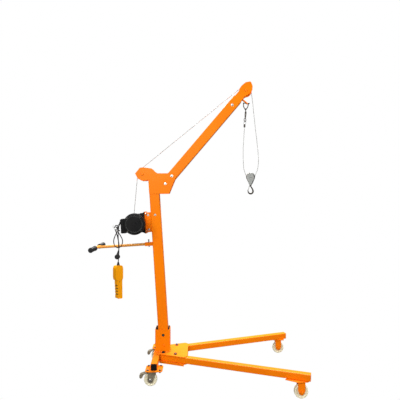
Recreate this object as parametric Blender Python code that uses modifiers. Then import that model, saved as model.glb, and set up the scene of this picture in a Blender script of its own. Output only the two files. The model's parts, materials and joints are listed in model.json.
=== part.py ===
"""Mobile floor crane with a leaning mast, a fixed boom, an electric rope hoist and folding legs.

Frame: +Z up, the legs point along +X, the mast stands at -X, Y is across the crane.
The origin is under the middle of the crane, on the floor. All lengths are in metres.
"""

import math

import bpy
import bmesh
from mathutils import Vector

# ---------------------------------------------------------------- driving dimensions
GAP = 0.0003                    # clearance kept between touching pieces

WHEEL_R = 0.050
WHEEL_HALF_WIDTH = 0.0165
HUB_HALF_WIDTH = 0.0185
AXLE_R = 0.006
CASTER_TRAIL = 0.028            # wheel centre behind the swivel axis
CASTER_Y = 0.235

TUBE = 0.050                    # square tube of the base
TUBE_WALL = 0.003
BASE_Z = 0.130                  # underside of the base tubes
BEAM_X = -0.317
BEAM_HALF = 0.270
PLATE_T = 0.006

PIVOT_X = -0.164
PIVOT_Y = 0.100
LEG_SPREAD = math.radians(19.2)
LEG_FRONT = 1.047               # leg length ahead of its pivot
LEG_BACK = 0.120                # leg length behind its pivot
FRONT_WHEEL_X = 0.758
FRONT_WHEEL_Y = 0.428

MAST = 0.080
MAST_WALL = 0.004
MAST_LEAN = math.radians(3.7)
MAST_FOOT = (-0.2581, 0.0, 0.195)
MAST_LENGTH = 1.408
SOCKET_X = -0.2725
SOCKET_TOP = 0.365
SOCKET_BOLT_Z = 0.320

SHEAVE_ROPE_R = 0.046           # rope centre line on the two big sheaves
SHEAVE_R = 0.0495
ROPE_R = 0.002
FALL_SPACING = 0.045            # between the points of the two hanging rope falls
REAR_SHEAVE = (-0.435, 1.630)   # x, z of the mast head's sheave
TIP_SHEAVE = (0.409, 2.318)     # x, z of the boom tip's sheave
BLOCK_SHEAVE = (0.450, 1.611)   # x, z of the hook block's sheave
BLOCK_ROPE_R = 0.032
BLOCK_SHEAVE_R = 0.036
HEAD_PLATE_T = 0.005

BOOM_FOOT = (-0.197, 0.0, 1.616)
BOOM_ANGLE = math.radians(49.6)
BOOM_BACK = 0.110
BOOM_REACH = 0.832
BOOM_WIDTH = 0.0794
TIP_TUBE = 0.066
BOOM_LOWER_BOLT = -0.083        # bolt places along the boom from its foot
BOOM_TIP_BOLT = 0.761

HOIST_X = -0.1535               # hoist axis in the mast's own frame
HOIST_Z = 1.049
DRUM_ROPE_R = 0.038
HANDLE_Z = 0.869                # push handle height in the mast's own frame
HANDLE_REAR = -0.501
HANDLE_HALF = 0.200
GRIP_R = 0.019

CORD_R = 0.0036
CORD_SPACING = 0.018            # between the points of the two cables
PENDANT = (-0.617, -0.120)      # x, y of the hanging pendant
PENDANT_TURN = math.radians(42)
MAINS_Y = -0.140                # where the two cables leave the junction box
PENDANT_CABLE_Y = -0.105
GLAND_TURN = math.radians(-140) # glands point down and to the rear
PLUG = (-0.6150, -0.1660, 0.9750)
PLUG_TILT = math.radians(11)    # the plug's boot leans from the vertical
PLUG_BOOT = 0.048

WHEEL_STEPS = 20
ROUND_STEPS = 16


# ---------------------------------------------------------------- scene and materials
def clear_scene():
    for old in list(bpy.data.objects):
        bpy.data.objects.remove(old, do_unlink=True)


def new_collection(name):
    made = bpy.data.collections.new(name)
    bpy.context.scene.collection.children.link(made)
    return made


def paint(name, colour, roughness, metallic):
    made = bpy.data.materials.new(name)
    made.use_nodes = True
    shader = made.node_tree.nodes["Principled BSDF"]
    shader.inputs["Base Color"].default_value = (*colour, 1.0)
    shader.inputs["Roughness"].default_value = roughness
    shader.inputs["Metallic"].default_value = metallic
    return made


clear_scene()
PARTS = new_collection("floor_crane")
CUTTERS = new_collection("cutters")

ORANGE = paint("orange_paint", (0.92, 0.22, 0.01), 0.35, 0.0)
ZINC = paint("zinc_plate", (0.55, 0.54, 0.50), 0.35, 1.0)
STEEL = paint("dark_steel", (0.16, 0.15, 0.14), 0.45, 1.0)
NYLON = paint("ivory_nylon", (0.80, 0.74, 0.58), 0.45, 0.0)
CASTING = paint("black_casting", (0.012, 0.012, 0.013), 0.50, 0.0)
RUBBER = paint("black_rubber", (0.015, 0.015, 0.016), 0.70, 0.0)
WIRE_ROPE = paint("wire_rope", (0.60, 0.60, 0.58), 0.40, 1.0)
YELLOW = paint("yellow_plastic", (0.90, 0.38, 0.01), 0.40, 0.0)
BUTTON = paint("green_plastic", (0.05, 0.30, 0.08), 0.35, 0.0)


# ---------------------------------------------------------------- modelling helpers
def place(obj, parent, at=(0, 0, 0), turn=(0, 0, 0)):
    obj.location = at
    obj.rotation_euler = turn
    obj.parent = parent
    return obj


def part(name, mesh, material, parent=None, at=(0, 0, 0), turn=(0, 0, 0)):
    """Put a mesh in the crane as one named sub-part."""
    obj = bpy.data.objects.new(name, mesh)
    PARTS.objects.link(obj)
    mesh.materials.clear()
    mesh.materials.append(material)
    return place(obj, parent, at, turn)


def axis_empty(name, at, turn=(0, 0, 0), parent=None):
    empty = bpy.data.objects.new(name, None)
    PARTS.objects.link(empty)
    return place(empty, parent, at, turn)


def helper(name, mesh, parent=None, at=(0, 0, 0), turn=(0, 0, 0)):
    """A shape that only cuts or joins another one."""
    obj = bpy.data.objects.new(name, mesh)
    CUTTERS.objects.link(obj)
    obj.hide_render = True
    obj.display_type = "WIRE"
    return place(obj, parent, at, turn)


def combine(target, operand, operation):
    step = target.modifiers.new(operation.lower(), "BOOLEAN")
    step.operation = operation
    step.object = operand
    return target


def cut(target, operand):
    return combine(target, operand, "DIFFERENCE")


def join(target, operand):
    return combine(target, operand, "UNION")


def box_mesh(low, high):
    mesh = bpy.data.meshes.new("box")
    shape = bmesh.new()
    bmesh.ops.create_cube(shape, size=1.0)
    size = Vector(high) - Vector(low)
    middle = (Vector(high) + Vector(low)) / 2
    for vert in shape.verts:
        vert.co = Vector(a * b for a, b in zip(vert.co, size)) + middle
    shape.to_mesh(mesh)
    shape.free()
    return mesh


def rod_mesh(radius, length, steps=ROUND_STEPS):
    """A cylinder along local Z, centred on the origin."""
    mesh = bpy.data.meshes.new("rod")
    shape = bmesh.new()
    bmesh.ops.create_cone(shape, cap_ends=True, segments=steps, radius1=radius, radius2=radius, depth=length)
    shape.to_mesh(mesh)
    shape.free()
    smooth(mesh)
    return mesh


def smooth(mesh, angle=40):
    mesh.shade_smooth()
    mesh.set_sharp_from_angle(angle=math.radians(angle))


def turned(name, profile, material, parent=None, at=(0, 0, 0), turn=(0, 0, 0), steps=ROUND_STEPS,
           closed=False):
    """Turn a profile of (radius, height) points, listed from top to bottom, about local Z.

    Without a material it is a helper for another shape.
    """
    mesh = bpy.data.meshes.new(name)
    shape = bmesh.new()
    verts = [shape.verts.new((radius, 0, height)) for radius, height in profile]
    ends = verts[1:] + ([verts[0]] if closed else [])
    for start, end in zip(verts, ends):
        shape.edges.new((start, end))
    shape.to_mesh(mesh)
    shape.free()
    if material:
        obj = part(name, mesh, material, parent, at, turn)
    else:
        obj = helper(name, mesh, parent, at, turn)
    screw = obj.modifiers.new("turn", "SCREW")
    screw.steps = steps
    screw.render_steps = steps
    screw.use_merge_vertices = True
    screw.merge_threshold = 0.00001
    screw.use_smooth_shade = False
    return obj


def curve_to_mesh(name, curve):
    """Evaluate a curve as a mesh and weld its caps."""
    holder = bpy.data.objects.new(name, curve)
    CUTTERS.objects.link(holder)
    bpy.context.view_layer.update()
    seen = holder.evaluated_get(bpy.context.evaluated_depsgraph_get())
    mesh = bpy.data.meshes.new_from_object(seen)
    bpy.data.objects.remove(holder)
    shape = bmesh.new()
    shape.from_mesh(mesh)
    bmesh.ops.remove_doubles(shape, verts=shape.verts, dist=0.00001)
    shape.to_mesh(mesh)
    shape.free()
    return mesh


def outline_mesh(name, outline, thickness, holes=()):
    """A flat outline in local XY, as thick as asked along local Z, with holes through it."""
    curve = bpy.data.curves.new(name, "CURVE")
    curve.dimensions = "2D"
    curve.fill_mode = "BOTH"
    curve.extrude = thickness / 2
    for loop in (outline, *holes):
        spline = curve.splines.new("POLY")
        spline.points.add(len(loop) - 1)
        for point, (x, y) in zip(spline.points, loop):
            point.co = (x, y, 0, 1)
        spline.use_cyclic_u = True
    return curve_to_mesh(name, curve)


def wire_mesh(name, points, radius, resolution=2, radii=None, cyclic=False):
    """A round bar along the points, with closed ends."""
    curve = bpy.data.curves.new(name, "CURVE")
    curve.dimensions = "3D"
    curve.bevel_depth = radius
    curve.bevel_resolution = resolution
    curve.use_fill_caps = not cyclic
    spline = curve.splines.new("POLY")
    spline.points.add(len(points) - 1)
    for index, place_at in enumerate(points):
        spline.points[index].co = (*place_at, 1)
        spline.points[index].radius = radii[index] if radii else 1.0
    spline.use_cyclic_u = cyclic
    mesh = curve_to_mesh(name, curve)
    smooth(mesh, 60)
    return mesh


def arc(centre, radius, start, end, count):
    """Points on a circle in a plane, from one angle in degrees to another."""
    points = []
    for index in range(count):
        angle = math.radians(start + (end - start) * index / (count - 1))
        points.append((centre[0] + radius * math.cos(angle), centre[1] + radius * math.sin(angle)))
    return points


def ring(centre, radius, count=12):
    return arc(centre, radius, 0, 360 - 360 / count, count)


def rounded_rectangle(width, height, corner, count=3):
    points = []
    for quarter, (side_x, side_y) in enumerate(((1, 1), (-1, 1), (-1, -1), (1, -1))):
        centre = (side_x * (width / 2 - corner), side_y * (height / 2 - corner))
        points += arc(centre, corner, 90 * quarter, 90 * quarter + 90, count)
    return points


def tube_mesh(name, width, height, wall, length, corner=0.005):
    """A rectangular tube along local Z."""
    inside = rounded_rectangle(width - 2 * wall, height - 2 * wall, max(corner - wall, 0.0008))
    return outline_mesh(name, rounded_rectangle(width, height, corner), length, [inside])


def smooth_route(route, spacing):
    """Points about the spacing apart on a smooth curve through the route's points."""
    route = [Vector(point) for point in route]
    padded = [2 * route[0] - route[1], *route, 2 * route[-1] - route[-2]]
    points = []
    for index in range(1, len(padded) - 2):
        before, start, end, after = padded[index - 1:index + 3]
        count = max(1, round((end - start).length / spacing))
        for step in range(count):
            t = step / count
            points.append(0.5 * (2 * start + (end - before) * t
                                 + (2 * before - 5 * start + 4 * end - after) * t * t
                                 + (3 * start - before - 3 * end + after) * t ** 3))
    points.append(route[-1])
    return points


FLAT_IN_XZ = (math.pi / 2, 0, 0)       # local XY outline stands in the XZ plane
ALONG_X = (0, math.pi / 2, 0)          # local Z lies along X
ALONG_Y = (-math.pi / 2, 0, 0)         # local Z lies along Y
SIDES = (("near", -1), ("far", 1))


# ---------------------------------------------------------------- places worked out from the dimensions
def in_mast_frame(x, z):
    """World x and z of a point given in the leaning mast's own frame."""
    world_x = MAST_FOOT[0] + x * math.cos(MAST_LEAN) - z * math.sin(MAST_LEAN)
    world_z = MAST_FOOT[2] + x * math.sin(MAST_LEAN) + z * math.cos(MAST_LEAN)
    return world_x, world_z


def world_on_boom(along, up):
    """World x and z of a point given along the boom and square to it."""
    x = BOOM_FOOT[0] + along * math.cos(BOOM_ANGLE) - up * math.sin(BOOM_ANGLE)
    z = BOOM_FOOT[2] + along * math.sin(BOOM_ANGLE) + up * math.cos(BOOM_ANGLE)
    return x, z


LUG_HOLE = world_on_boom(0.857, -0.079)
SHACKLE_PIN = (LUG_HOLE[0], 0, LUG_HOLE[1])
HOOK_TOP = BLOCK_SHEAVE[1] - 0.066       # underside of the block's crosshead
GLAND = in_mast_frame(-0.262, 1.073)


def bolt_profile(head_r, head, shank_r, length, nut_r, nut):
    """Head on top at z 0, shank down, nut at the end."""
    return [(0, head), (head_r, head), (head_r, 0), (shank_r, 0), (shank_r, -length),
            (nut_r, -length), (nut_r, -length - nut), (0, -length - nut)]


def cross_bolt(name, parent, x, z, reach, shank_r=0.006, hole_in=(), material=ZINC):
    """A bolt across the crane along Y, with its holes in the given parts."""
    half = reach + GAP
    profile = bolt_profile(0.0095, 0.006, shank_r, 2 * half, 0.0095, 0.007)
    bolt = turned(name, profile, material, parent, (x, -half, z), (math.pi / 2, 0, 0), 12)
    drill = helper(name + "_hole", rod_mesh(shank_r + GAP, 4 * half, 12), parent, (x, 0, z), ALONG_Y)
    for plate in hole_in:
        cut(plate, drill)
    return bolt


# ---------------------------------------------------------------- base
def rear_crossbeam():
    """Open square tube across the back, with the two caster pads welded under it."""
    beam = part("rear_crossbeam", tube_mesh("beam", TUBE, TUBE, TUBE_WALL, 2 * BEAM_HALF), ORANGE,
                None, (BEAM_X, 0, BASE_Z + TUBE / 2), ALONG_Y)
    for side, sign in SIDES:
        pad = outline_mesh("pad", rounded_rectangle(0.131, 0.120, 0.020, 4), PLATE_T)
        join(beam, helper("pad_" + side, pad, None, (BEAM_X, sign * CASTER_Y, BASE_Z - 0.0025)))
    return beam


def deck_outline():
    """Half-outline mirrored in Y: side edges run beside the legs, front corners are cut."""
    slope = math.tan(LEG_SPREAD)
    margin = (TUBE / 2 + 0.010) / math.cos(LEG_SPREAD)

    def edge(x):
        return PIVOT_Y + (x - PIVOT_X) * slope + margin

    rear = BEAM_X - TUBE / 2
    half = [(rear, edge(rear)), (-0.095, edge(-0.095)), (-0.067, edge(-0.095) - 0.022)]
    return half + [(x, -y) for x, y in reversed(half)]


def deck_plates():
    holes = [ring((PIVOT_X, sign * PIVOT_Y), 0.008 + GAP) for _, sign in SIDES]
    for name, low in (("base_top_plate", BASE_Z + TUBE + GAP), ("base_bottom_plate", BASE_Z - PLATE_T - GAP)):
        part(name, outline_mesh(name, deck_outline(), PLATE_T, holes), ORANGE, None,
             (0, 0, low + PLATE_T / 2))


def leg(side, sign):
    """Square tube that turns in about its pivot bolt between the two plates."""
    axis = axis_empty("leg_axis_" + side, (PIVOT_X, sign * PIVOT_Y, BASE_Z + TUBE / 2),
                      (0, 0, sign * LEG_SPREAD))
    length = LEG_FRONT + LEG_BACK
    tube = part("leg_" + side, tube_mesh("leg", TUBE, TUBE, TUBE_WALL, length), ORANGE, axis,
                ((LEG_FRONT - LEG_BACK) / 2, 0, 0), ALONG_X)
    cut(tube, helper("leg_hole_" + side, rod_mesh(0.008 + GAP, 0.1, 12), axis))


def pivot_bolt(side, sign):
    stack = TUBE + 2 * (PLATE_T + 2 * GAP)
    top = BASE_Z + TUBE + PLATE_T + 2 * GAP
    profile = bolt_profile(0.013, 0.008, 0.008, stack + 0.0006, 0.013, 0.009)
    turned("leg_pivot_bolt_" + side, profile, ZINC, None, (PIVOT_X, sign * PIVOT_Y, top), steps=12)


def front_fork(side, sign):
    """Fixed fork welded to its pad under the leg tip, with the wheel's axle bolt in it."""
    middle = (FRONT_WHEEL_X, sign * FRONT_WHEEL_Y)
    pad_t = 0.005
    pad_z = BASE_Z - GAP - pad_t / 2
    outline = [(-0.100, -0.022), (-0.030, -0.040), (0.045, -0.040), (0.052, -0.022),
               (0.052, 0.026), (0.040, 0.036), (-0.030, 0.040), (-0.112, -0.006)]
    outline = [(x, sign * y) for x, y in outline]
    fork = part("front_fork_" + side, outline_mesh("front_pad", outline, pad_t), ORANGE, None,
                (*middle, pad_z))
    arm = [(-0.026, 0.126), (-0.026, WHEEL_R + 0.01)] + arc((0, WHEEL_R), 0.021, 190, 350, 7)
    arm += [(0.026, WHEEL_R + 0.01), (0.026, 0.126)]
    for name, y in (("outer", -0.0225), ("inner", 0.0225)):
        mesh = outline_mesh("fork_arm", arm, 0.004)
        join(fork, helper("fork_arm_" + name + side, mesh, None, (middle[0], middle[1] + y, 0), FLAT_IN_XZ))
    axle = bolt_profile(0.010, 0.006, AXLE_R, 0.0490, 0.010, 0.006)
    join(fork, turned("front_axle_" + side, axle, None, None, (middle[0], middle[1] - 0.0242, WHEEL_R),
                      (math.pi / 2, 0, 0), 12))


def wheel(name, x, y, parent=None):
    """Solid nylon wheel with a rounded tread, a recessed web and a wider hub."""
    tread = [(WHEEL_R - 0.003, WHEEL_HALF_WIDTH), (WHEEL_R, WHEEL_HALF_WIDTH - 0.005)]
    mirrored = [(r, -h) for r, h in reversed(tread)]
    hub = 0.017
    web = 0.011
    side = [(AXLE_R + GAP, HUB_HALF_WIDTH), (hub, HUB_HALF_WIDTH), (hub + 0.001, web), (0.038, web),
            (0.040, WHEEL_HALF_WIDTH)]
    lower = [(r, -h) for r, h in reversed(side)]
    turned(name, side + tread + mirrored + lower, NYLON, parent, (x, y, WHEEL_R), ALONG_Y,
           WHEEL_STEPS, closed=True)


def caster(side, sign):
    """Swivel caster: fixed plate with its race, fork with the axle, wheel and brake pedal."""
    centre = (BEAM_X, sign * CASTER_Y)
    plate_t = 0.003
    plate_z = BASE_Z - 0.0055 - GAP - plate_t / 2
    holes = [ring((x * 0.047, y * 0.0405), 0.0045, 8) for x in (-1, 1) for y in (-1, 1)]
    plate_mesh = outline_mesh("caster_plate", rounded_rectangle(0.115, 0.100, 0.008), plate_t, holes)
    plate = part("caster_plate_" + side, plate_mesh, ZINC, None, (*centre, plate_z))
    race = [(0, 0.124), (0.031, 0.124), (0.031, 0.118), (0.026, 0.1118), (0.0055, 0.1118),
            (0.0055, 0.103), (0.010, 0.103), (0.010, 0.098), (0, 0.098)]
    join(plate, turned("race_" + side, race, None, None, (*centre, 0)))

    axis = axis_empty("caster_axis_" + side, (*centre, 0))
    crown = box_mesh((-0.038, -0.0240, 0.1080), (0.022, 0.0240, 0.1110))
    fork = part("caster_fork_" + side, crown, ZINC, axis)
    cheek = [(0.020, 0.1105), (-0.054, 0.1105), (-0.054, 0.0975), (-0.047, 0.092), (-0.050, 0.060)]
    cheek += arc((-CASTER_TRAIL, WHEEL_R), 0.0225, 185, 355, 8) + [(-0.002, 0.062)]
    for name, y in (("a_", -0.0222), ("b_", 0.0222)):
        mesh = outline_mesh("fork_cheek", cheek, 0.003)
        join(fork, helper("fork_cheek_" + name + side, mesh, axis, (0, y, 0), FLAT_IN_XZ))
    axle = bolt_profile(0.009, 0.005, AXLE_R, 0.0470, 0.009, 0.005)
    join(fork, turned("caster_axle_" + side, axle, None, axis, (-CASTER_TRAIL, -0.0235, WHEEL_R),
                      (math.pi / 2, 0, 0), 12))
    cut(fork, helper("kingpin_hole_" + side, rod_mesh(0.0055 + GAP, 0.03), axis, (0, 0, 0.108)))
    wheel("rear_wheel_" + side, -CASTER_TRAIL, 0, axis)
    brake_pedal(side, axis)


def brake_pedal(side, axis):
    """Deep pedal on its hinge pin behind the fork crown."""
    hinge = axis_empty("brake_axis_" + side, (-0.047, 0, 0.104), parent=axis)
    profile = [(-0.002, -0.0035), (-0.012, -0.0065), (-0.034, -0.0190), (-0.044, -0.0400), (-0.056, -0.0460),
               (-0.065, -0.0380), (-0.066, -0.0220), (-0.056, -0.0130), (-0.016, -0.0010), (0.000, 0.0035)]
    mesh = outline_mesh("pedal", profile, 0.038)
    part("brake_pedal_" + side, mesh, ZINC, hinge, turn=FLAT_IN_XZ)


# ---------------------------------------------------------------- mast
def mast_socket():
    low = BASE_Z + TUBE + PLATE_T + 2 * GAP
    height = SOCKET_TOP - low
    mesh = tube_mesh("socket", 0.120, 0.092, 0.004, height, 0.006)
    return part("mast_socket", mesh, ORANGE, None, (SOCKET_X, 0, low + height / 2))


def mast_tube(lean):
    """Leaning square tube with the handle's stub welded to its back."""
    mesh = tube_mesh("mast", MAST, MAST, MAST_WALL, MAST_LENGTH, 0.007)
    mast = part("mast", mesh, ORANGE, lean, (0, 0, MAST_LENGTH / 2))
    stub = tube_mesh("stub", 0.030, 0.030, 0.0025, 0.066, 0.003)
    join(mast, helper("handle_stub", stub, lean, (-0.0725, 0, HANDLE_Z), ALONG_X))
    return mast


def head_plates():
    """Side plates that carry the rear sheave and hold the boom's foot."""
    lobe = [(-0.4290, 1.6860), (-0.4580, 1.6830), (-0.4955, 1.6350), (-0.4740, 1.5950), (-0.4420, 1.5770),
            (-0.4100, 1.5775)]
    outline = [(-0.2197, 1.471), (-0.1696, 1.592), (-0.160, 1.606), (-0.2145, 1.652), (-0.2298, 1.6377),
               (-0.3128, 1.6377), (-0.340, 1.655), (-0.361, 1.677)] + lobe
    outline += [(-0.3885, 1.586), (-0.3807, 1.470)]
    plates = []
    for side, sign in SIDES:
        mesh = outline_mesh("head_plate", outline, HEAD_PLATE_T)
        y = sign * (MAST / 2 + GAP + HEAD_PLATE_T / 2)
        plates.append(part("head_plate_" + side, mesh, ORANGE, None, (0, y, 0), FLAT_IN_XZ))
    return plates


def sheave(name, centre, rope_r, outer_r, half_width, hub_r, hub_half, bore_r, steps=16):
    """Grooved rope wheel about Y, turning on its axle with running clearance."""
    groove = rope_r - ROPE_R - 2 * GAP
    inner = outer_r - 0.012
    side = [(bore_r, hub_half), (hub_r, hub_half), (hub_r, half_width * 0.6), (inner, half_width * 0.6),
            (inner + 0.003, half_width), (outer_r, half_width), (groove, 0.0018)]
    other = [(r, -h) for r, h in reversed(side)]
    turned(name, side + other, ZINC, None, (centre[0], 0, centre[1]), ALONG_Y, steps, closed=True)


# ---------------------------------------------------------------- boom
def boom_parts(plates):
    axis = axis_empty("boom_axis", BOOM_FOOT, (0, -BOOM_ANGLE, 0))
    length = BOOM_BACK + BOOM_REACH
    mesh = tube_mesh("boom", MAST - 0.003, BOOM_WIDTH, MAST_WALL, length, 0.007)
    boom = part("boom", mesh, ORANGE, axis, ((BOOM_REACH - BOOM_BACK) / 2, 0, 0), ALONG_X)
    tip = boom_tip(axis)
    reach = MAST / 2 + GAP + HEAD_PLATE_T
    cross_bolt("boom_lower_bolt", axis, BOOM_LOWER_BOLT, 0, reach, hole_in=(boom, *plates))
    cross_bolt("boom_upper_bolt", axis, 0, 0, reach, hole_in=(boom, *plates))
    cross_bolt("boom_tip_bolt", axis, BOOM_TIP_BOLT, 0, BOOM_WIDTH / 2, hole_in=(boom, tip))
    return tip


def boom_tip(axis):
    """Inner tube with two cheeks for the sheave and a lug for the rope's dead end."""
    start = 0.640
    end = 0.866
    mesh = tube_mesh("tip_tube", TIP_TUBE, TIP_TUBE, TUBE_WALL, end - start, 0.004)
    tip = part("boom_tip_head", mesh, ORANGE, axis, ((start + end) / 2, 0, 0), ALONG_X)
    half = TIP_TUBE / 2
    edge = half - 0.0006
    outline = [(0.845, -edge), (0.878, -edge), (0.905, -0.0400), (0.930, -0.0470), (0.962, -0.0455),
               (0.988, -0.0260), (1.003, 0.0000), (1.004, 0.0130), (0.976, 0.0370), (0.930, 0.0450),
               (0.905, 0.0420), (0.885, edge), (0.845, edge)]
    for side, sign in SIDES:
        cheek = outline_mesh("tip_cheek", outline, HEAD_PLATE_T)
        join(tip, helper("tip_cheek_" + side, cheek, axis, (0, sign * (half - 0.0026), 0), FLAT_IN_XZ))
    lug = box_mesh((0.853, -0.012, -0.089), (0.861, 0.012, -half + 0.002))
    join(tip, helper("rope_lug", lug, axis))
    cut(tip, helper("lug_hole", rod_mesh(0.0065, 0.05, 12), None, SHACKLE_PIN, ALONG_X))
    pin = turned("guard_pin", bolt_profile(0.006, 0.003, 0.004, 0.0704, 0.006, 0.003), None, axis,
                 (0.992, -0.0352, 0.002), (math.pi / 2, 0, 0), 10)
    join(tip, pin)
    return tip


# ---------------------------------------------------------------- dead end of the rope
def shackle():
    """Bow shackle in the lug, its pin lying along X."""
    x, _, z = SHACKLE_PIN
    x -= 0.005
    route = [(x - 0.021, 0, z + 0.005), (x - 0.022, 0, z - 0.012), (x - 0.013, 0, z - 0.040),
             (x - 0.004, 0, z - 0.053), (x + 0.005, 0, z - 0.040), (x + 0.018, 0, z - 0.012),
             (x + 0.021, 0, z + 0.005)]
    bow = part("anchor_shackle", wire_mesh("bow", smooth_route(route, 0.010), 0.0030, 1), STEEL)
    join(bow, helper("shackle_pin", rod_mesh(0.0042, 0.054, 12), None, (x, 0, z), ALONG_X))


def swivel_link():
    """Swivel between the shackle and the rope's eye: a ring, a leaning barrel and a lower ring."""
    x = SHACKLE_PIN[0] - 0.009
    top = SHACKLE_PIN[2] - 0.053
    around = [math.pi * i / 6 for i in range(12)]
    upper = [(x, 0.0085 * math.cos(a), top - 0.002 + 0.0125 * math.sin(a)) for a in around]
    body = part("rope_swivel", wire_mesh("swivel_ring", upper, 0.0022, 1, cyclic=True), STEEL)
    barrel = [(0, 0.012), (0.0045, 0.012), (0.0075, 0.004), (0.0065, -0.030), (0.0045, -0.048), (0, -0.048)]
    join(body, turned("swivel_barrel", barrel, None, None, (x, 0, top - 0.0255), (0, math.radians(4), 0), 12))
    x -= 0.0055
    lower = [(x + 0.0075 * math.cos(a), 0, top - 0.084 + 0.013 * math.sin(a)) for a in around]
    join(body, helper("swivel_eye", wire_mesh("swivel_eye", lower, 0.0024, 1, cyclic=True)))
    return x, top - 0.096


def rope_ferrule(x, z):
    """Pressed sleeve that closes the rope's end, with the short rope eye above it."""
    sleeve = [(0, 0.013), (0.005, 0.013), (0.0075, 0.009), (0.0075, -0.009), (0.005, -0.013), (0, -0.013)]
    centre = z - 0.036
    ferrule = turned("rope_ferrule", sleeve, STEEL, None, (x - 0.004, 0, centre), steps=12)
    eye = [(x - 0.0066, 0, centre + 0.010), (x - 0.0075, 0.004, centre + 0.024),
           (x - 0.001, 0.0065, z + 0.001), (x, 0, z + 0.0060), (x + 0.001, -0.0065, z + 0.001),
           (x - 0.0005, -0.004, centre + 0.024), (x - 0.0014, 0, centre + 0.010)]
    join(ferrule, helper("rope_eye", wire_mesh("rope_eye", smooth_route(eye, 0.008), ROPE_R, 1)))
    return x - 0.004, centre - 0.013


# ---------------------------------------------------------------- rope and hook block
def hoist_rope(drum_at):
    """Rope from the drum, over the mast head and up to the far side of the tip sheave."""
    drum_x, drum_z = drum_at
    rear_x, rear_z = REAR_SHEAVE
    tip_x, tip_z = TIP_SHEAVE
    climb = math.degrees(math.atan2(tip_z - rear_z, tip_x - rear_x))
    lean = math.degrees(math.atan2(rear_z - drum_z, rear_x - drum_x)) - 90
    points = [(drum_x - DRUM_ROPE_R, drum_z + 0.002)]
    points += arc(REAR_SHEAVE, SHEAVE_ROPE_R, 180 + lean, 90 + climb, 12)
    points += arc(TIP_SHEAVE, SHEAVE_ROPE_R, 90 + climb, 12, 12)
    route = [(x, 0, z) for x, z in points]
    part("hoist_rope", wire_mesh("hoist_rope", route, ROPE_R), WIRE_ROPE)
    return route[-1]


def fall_rope(start, clip):
    """Slack rope from the tip sheave, round the block's sheave and up to the ferrule."""
    x, z = BLOCK_SHEAVE
    right = [(start[0] + 0.0003, 0, start[2] - 0.0012), (0.4585, 0, 2.290), (0.4665, 0, 2.230),
             (0.4770, 0, 2.130), (0.4900, 0, 2.010), (0.5030, 0, 1.900), (0.5130, 0, 1.800),
             (0.5150, 0, 1.730), (0.5070, 0, 1.670), (0.4930, 0, 1.635)]
    under = [(px, 0, pz) for px, pz in arc((x, z), BLOCK_ROPE_R, -8, -172, 16)]
    left = [(0.4060, 0, 1.640), (0.3945, 0, 1.680), (0.3900, 0, 1.740), (0.3890, 0, 1.830),
            (clip[0] - 0.006, 0, 1.930), (clip[0], 0, clip[1] - GAP)]
    points = smooth_route([*right, under[0]], FALL_SPACING) + under[1:-1]
    points += smooth_route([under[-1], *left], FALL_SPACING)
    part("hook_rope", wire_mesh("hook_rope", points, ROPE_R), WIRE_ROPE)


def hook_block():
    """Two cheeks on the sheave's axle, tapering to the crosshead that holds the hook."""
    x, z = BLOCK_SHEAVE
    shape = arc((0, 0), 0.033, -5, 185, 12)
    shape += [(-0.012, -0.058), (-0.008, -0.067), (0.008, -0.067), (0.012, -0.058)]
    cheek_y = 0.0125
    block = part("block_cheeks", outline_mesh("block_cheek", shape, 0.0025), ZINC, None,
                 (x, -cheek_y, z), FLAT_IN_XZ)
    other = outline_mesh("block_cheek", shape, 0.0025)
    join(block, helper("block_cheek_far", other, None, (x, cheek_y, z), FLAT_IN_XZ))
    crosshead = box_mesh((-0.0095, -0.0120, -0.066), (0.0095, 0.0120, -0.050))
    join(block, helper("crosshead", crosshead, None, (x, 0, z)))
    axle = bolt_profile(0.008, 0.004, 0.005, 0.0274, 0.008, 0.004)
    join(block, turned("block_axle", axle, None, None, (x, -0.0137, z), (math.pi / 2, 0, 0), 12))
    cut(block, helper("hook_hole", rod_mesh(0.0053, 0.05, 12), None, (x, 0, z - 0.06)))
    sheave("block_sheave", BLOCK_SHEAVE, BLOCK_ROPE_R, BLOCK_SHEAVE_R, 0.0085, 0.010, 0.0105, 0.0053)


def load_hook():
    """Forged hook with its shank through the crosshead and a nut on top."""
    x = BLOCK_SHEAVE[0]
    bowl = (x, HOOK_TOP - 0.052)
    route = [(x, HOOK_TOP + 0.022), (x, HOOK_TOP - 0.006), (x + 0.004, HOOK_TOP - 0.016),
             (x + 0.014, HOOK_TOP - 0.032)]
    route += arc(bowl, 0.0205, 15, -185, 11) + [(x - 0.0235, HOOK_TOP - 0.041)]
    width = [0.0050, 0.0050, 0.0050, 0.0056, 0.0064, 0.0070, 0.0072, 0.0074, 0.0074, 0.0072, 0.0068,
             0.0060, 0.0052, 0.0044, 0.0038, 0.0026]
    points = [(px, 0, pz) for px, pz in route]
    mesh = wire_mesh("hook", points, 1.0, 2, width)
    hook = part("load_hook", mesh, STEEL)
    nut = turned("hook_nut", [(0, 0.006), (0.008, 0.006), (0.008, 0), (0, 0)], None, None,
                 (x, 0, HOOK_TOP + 0.0165), steps=12)
    join(hook, nut)
    collar = [(0, 0.0035), (0.0085, 0.0035), (0.0085, 0), (0, 0)]
    join(hook, turned("hook_collar", collar, None, None, (x, 0, HOOK_TOP - 0.0042), steps=12))


def hook_latch():
    """Sprung safety latch from the hook's neck to its point."""
    x = BLOCK_SHEAVE[0]
    hinge = axis_empty("latch_axis", (x - 0.0075, 0, HOOK_TOP - 0.010))
    outline = [(-0.0025, 0.0030), (-0.0130, -0.0305), (-0.0100, -0.0315), (0.0022, 0.0020)]
    part("hook_latch", outline_mesh("latch", outline, 0.0075), ZINC, hinge, turn=FLAT_IN_XZ)


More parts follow.
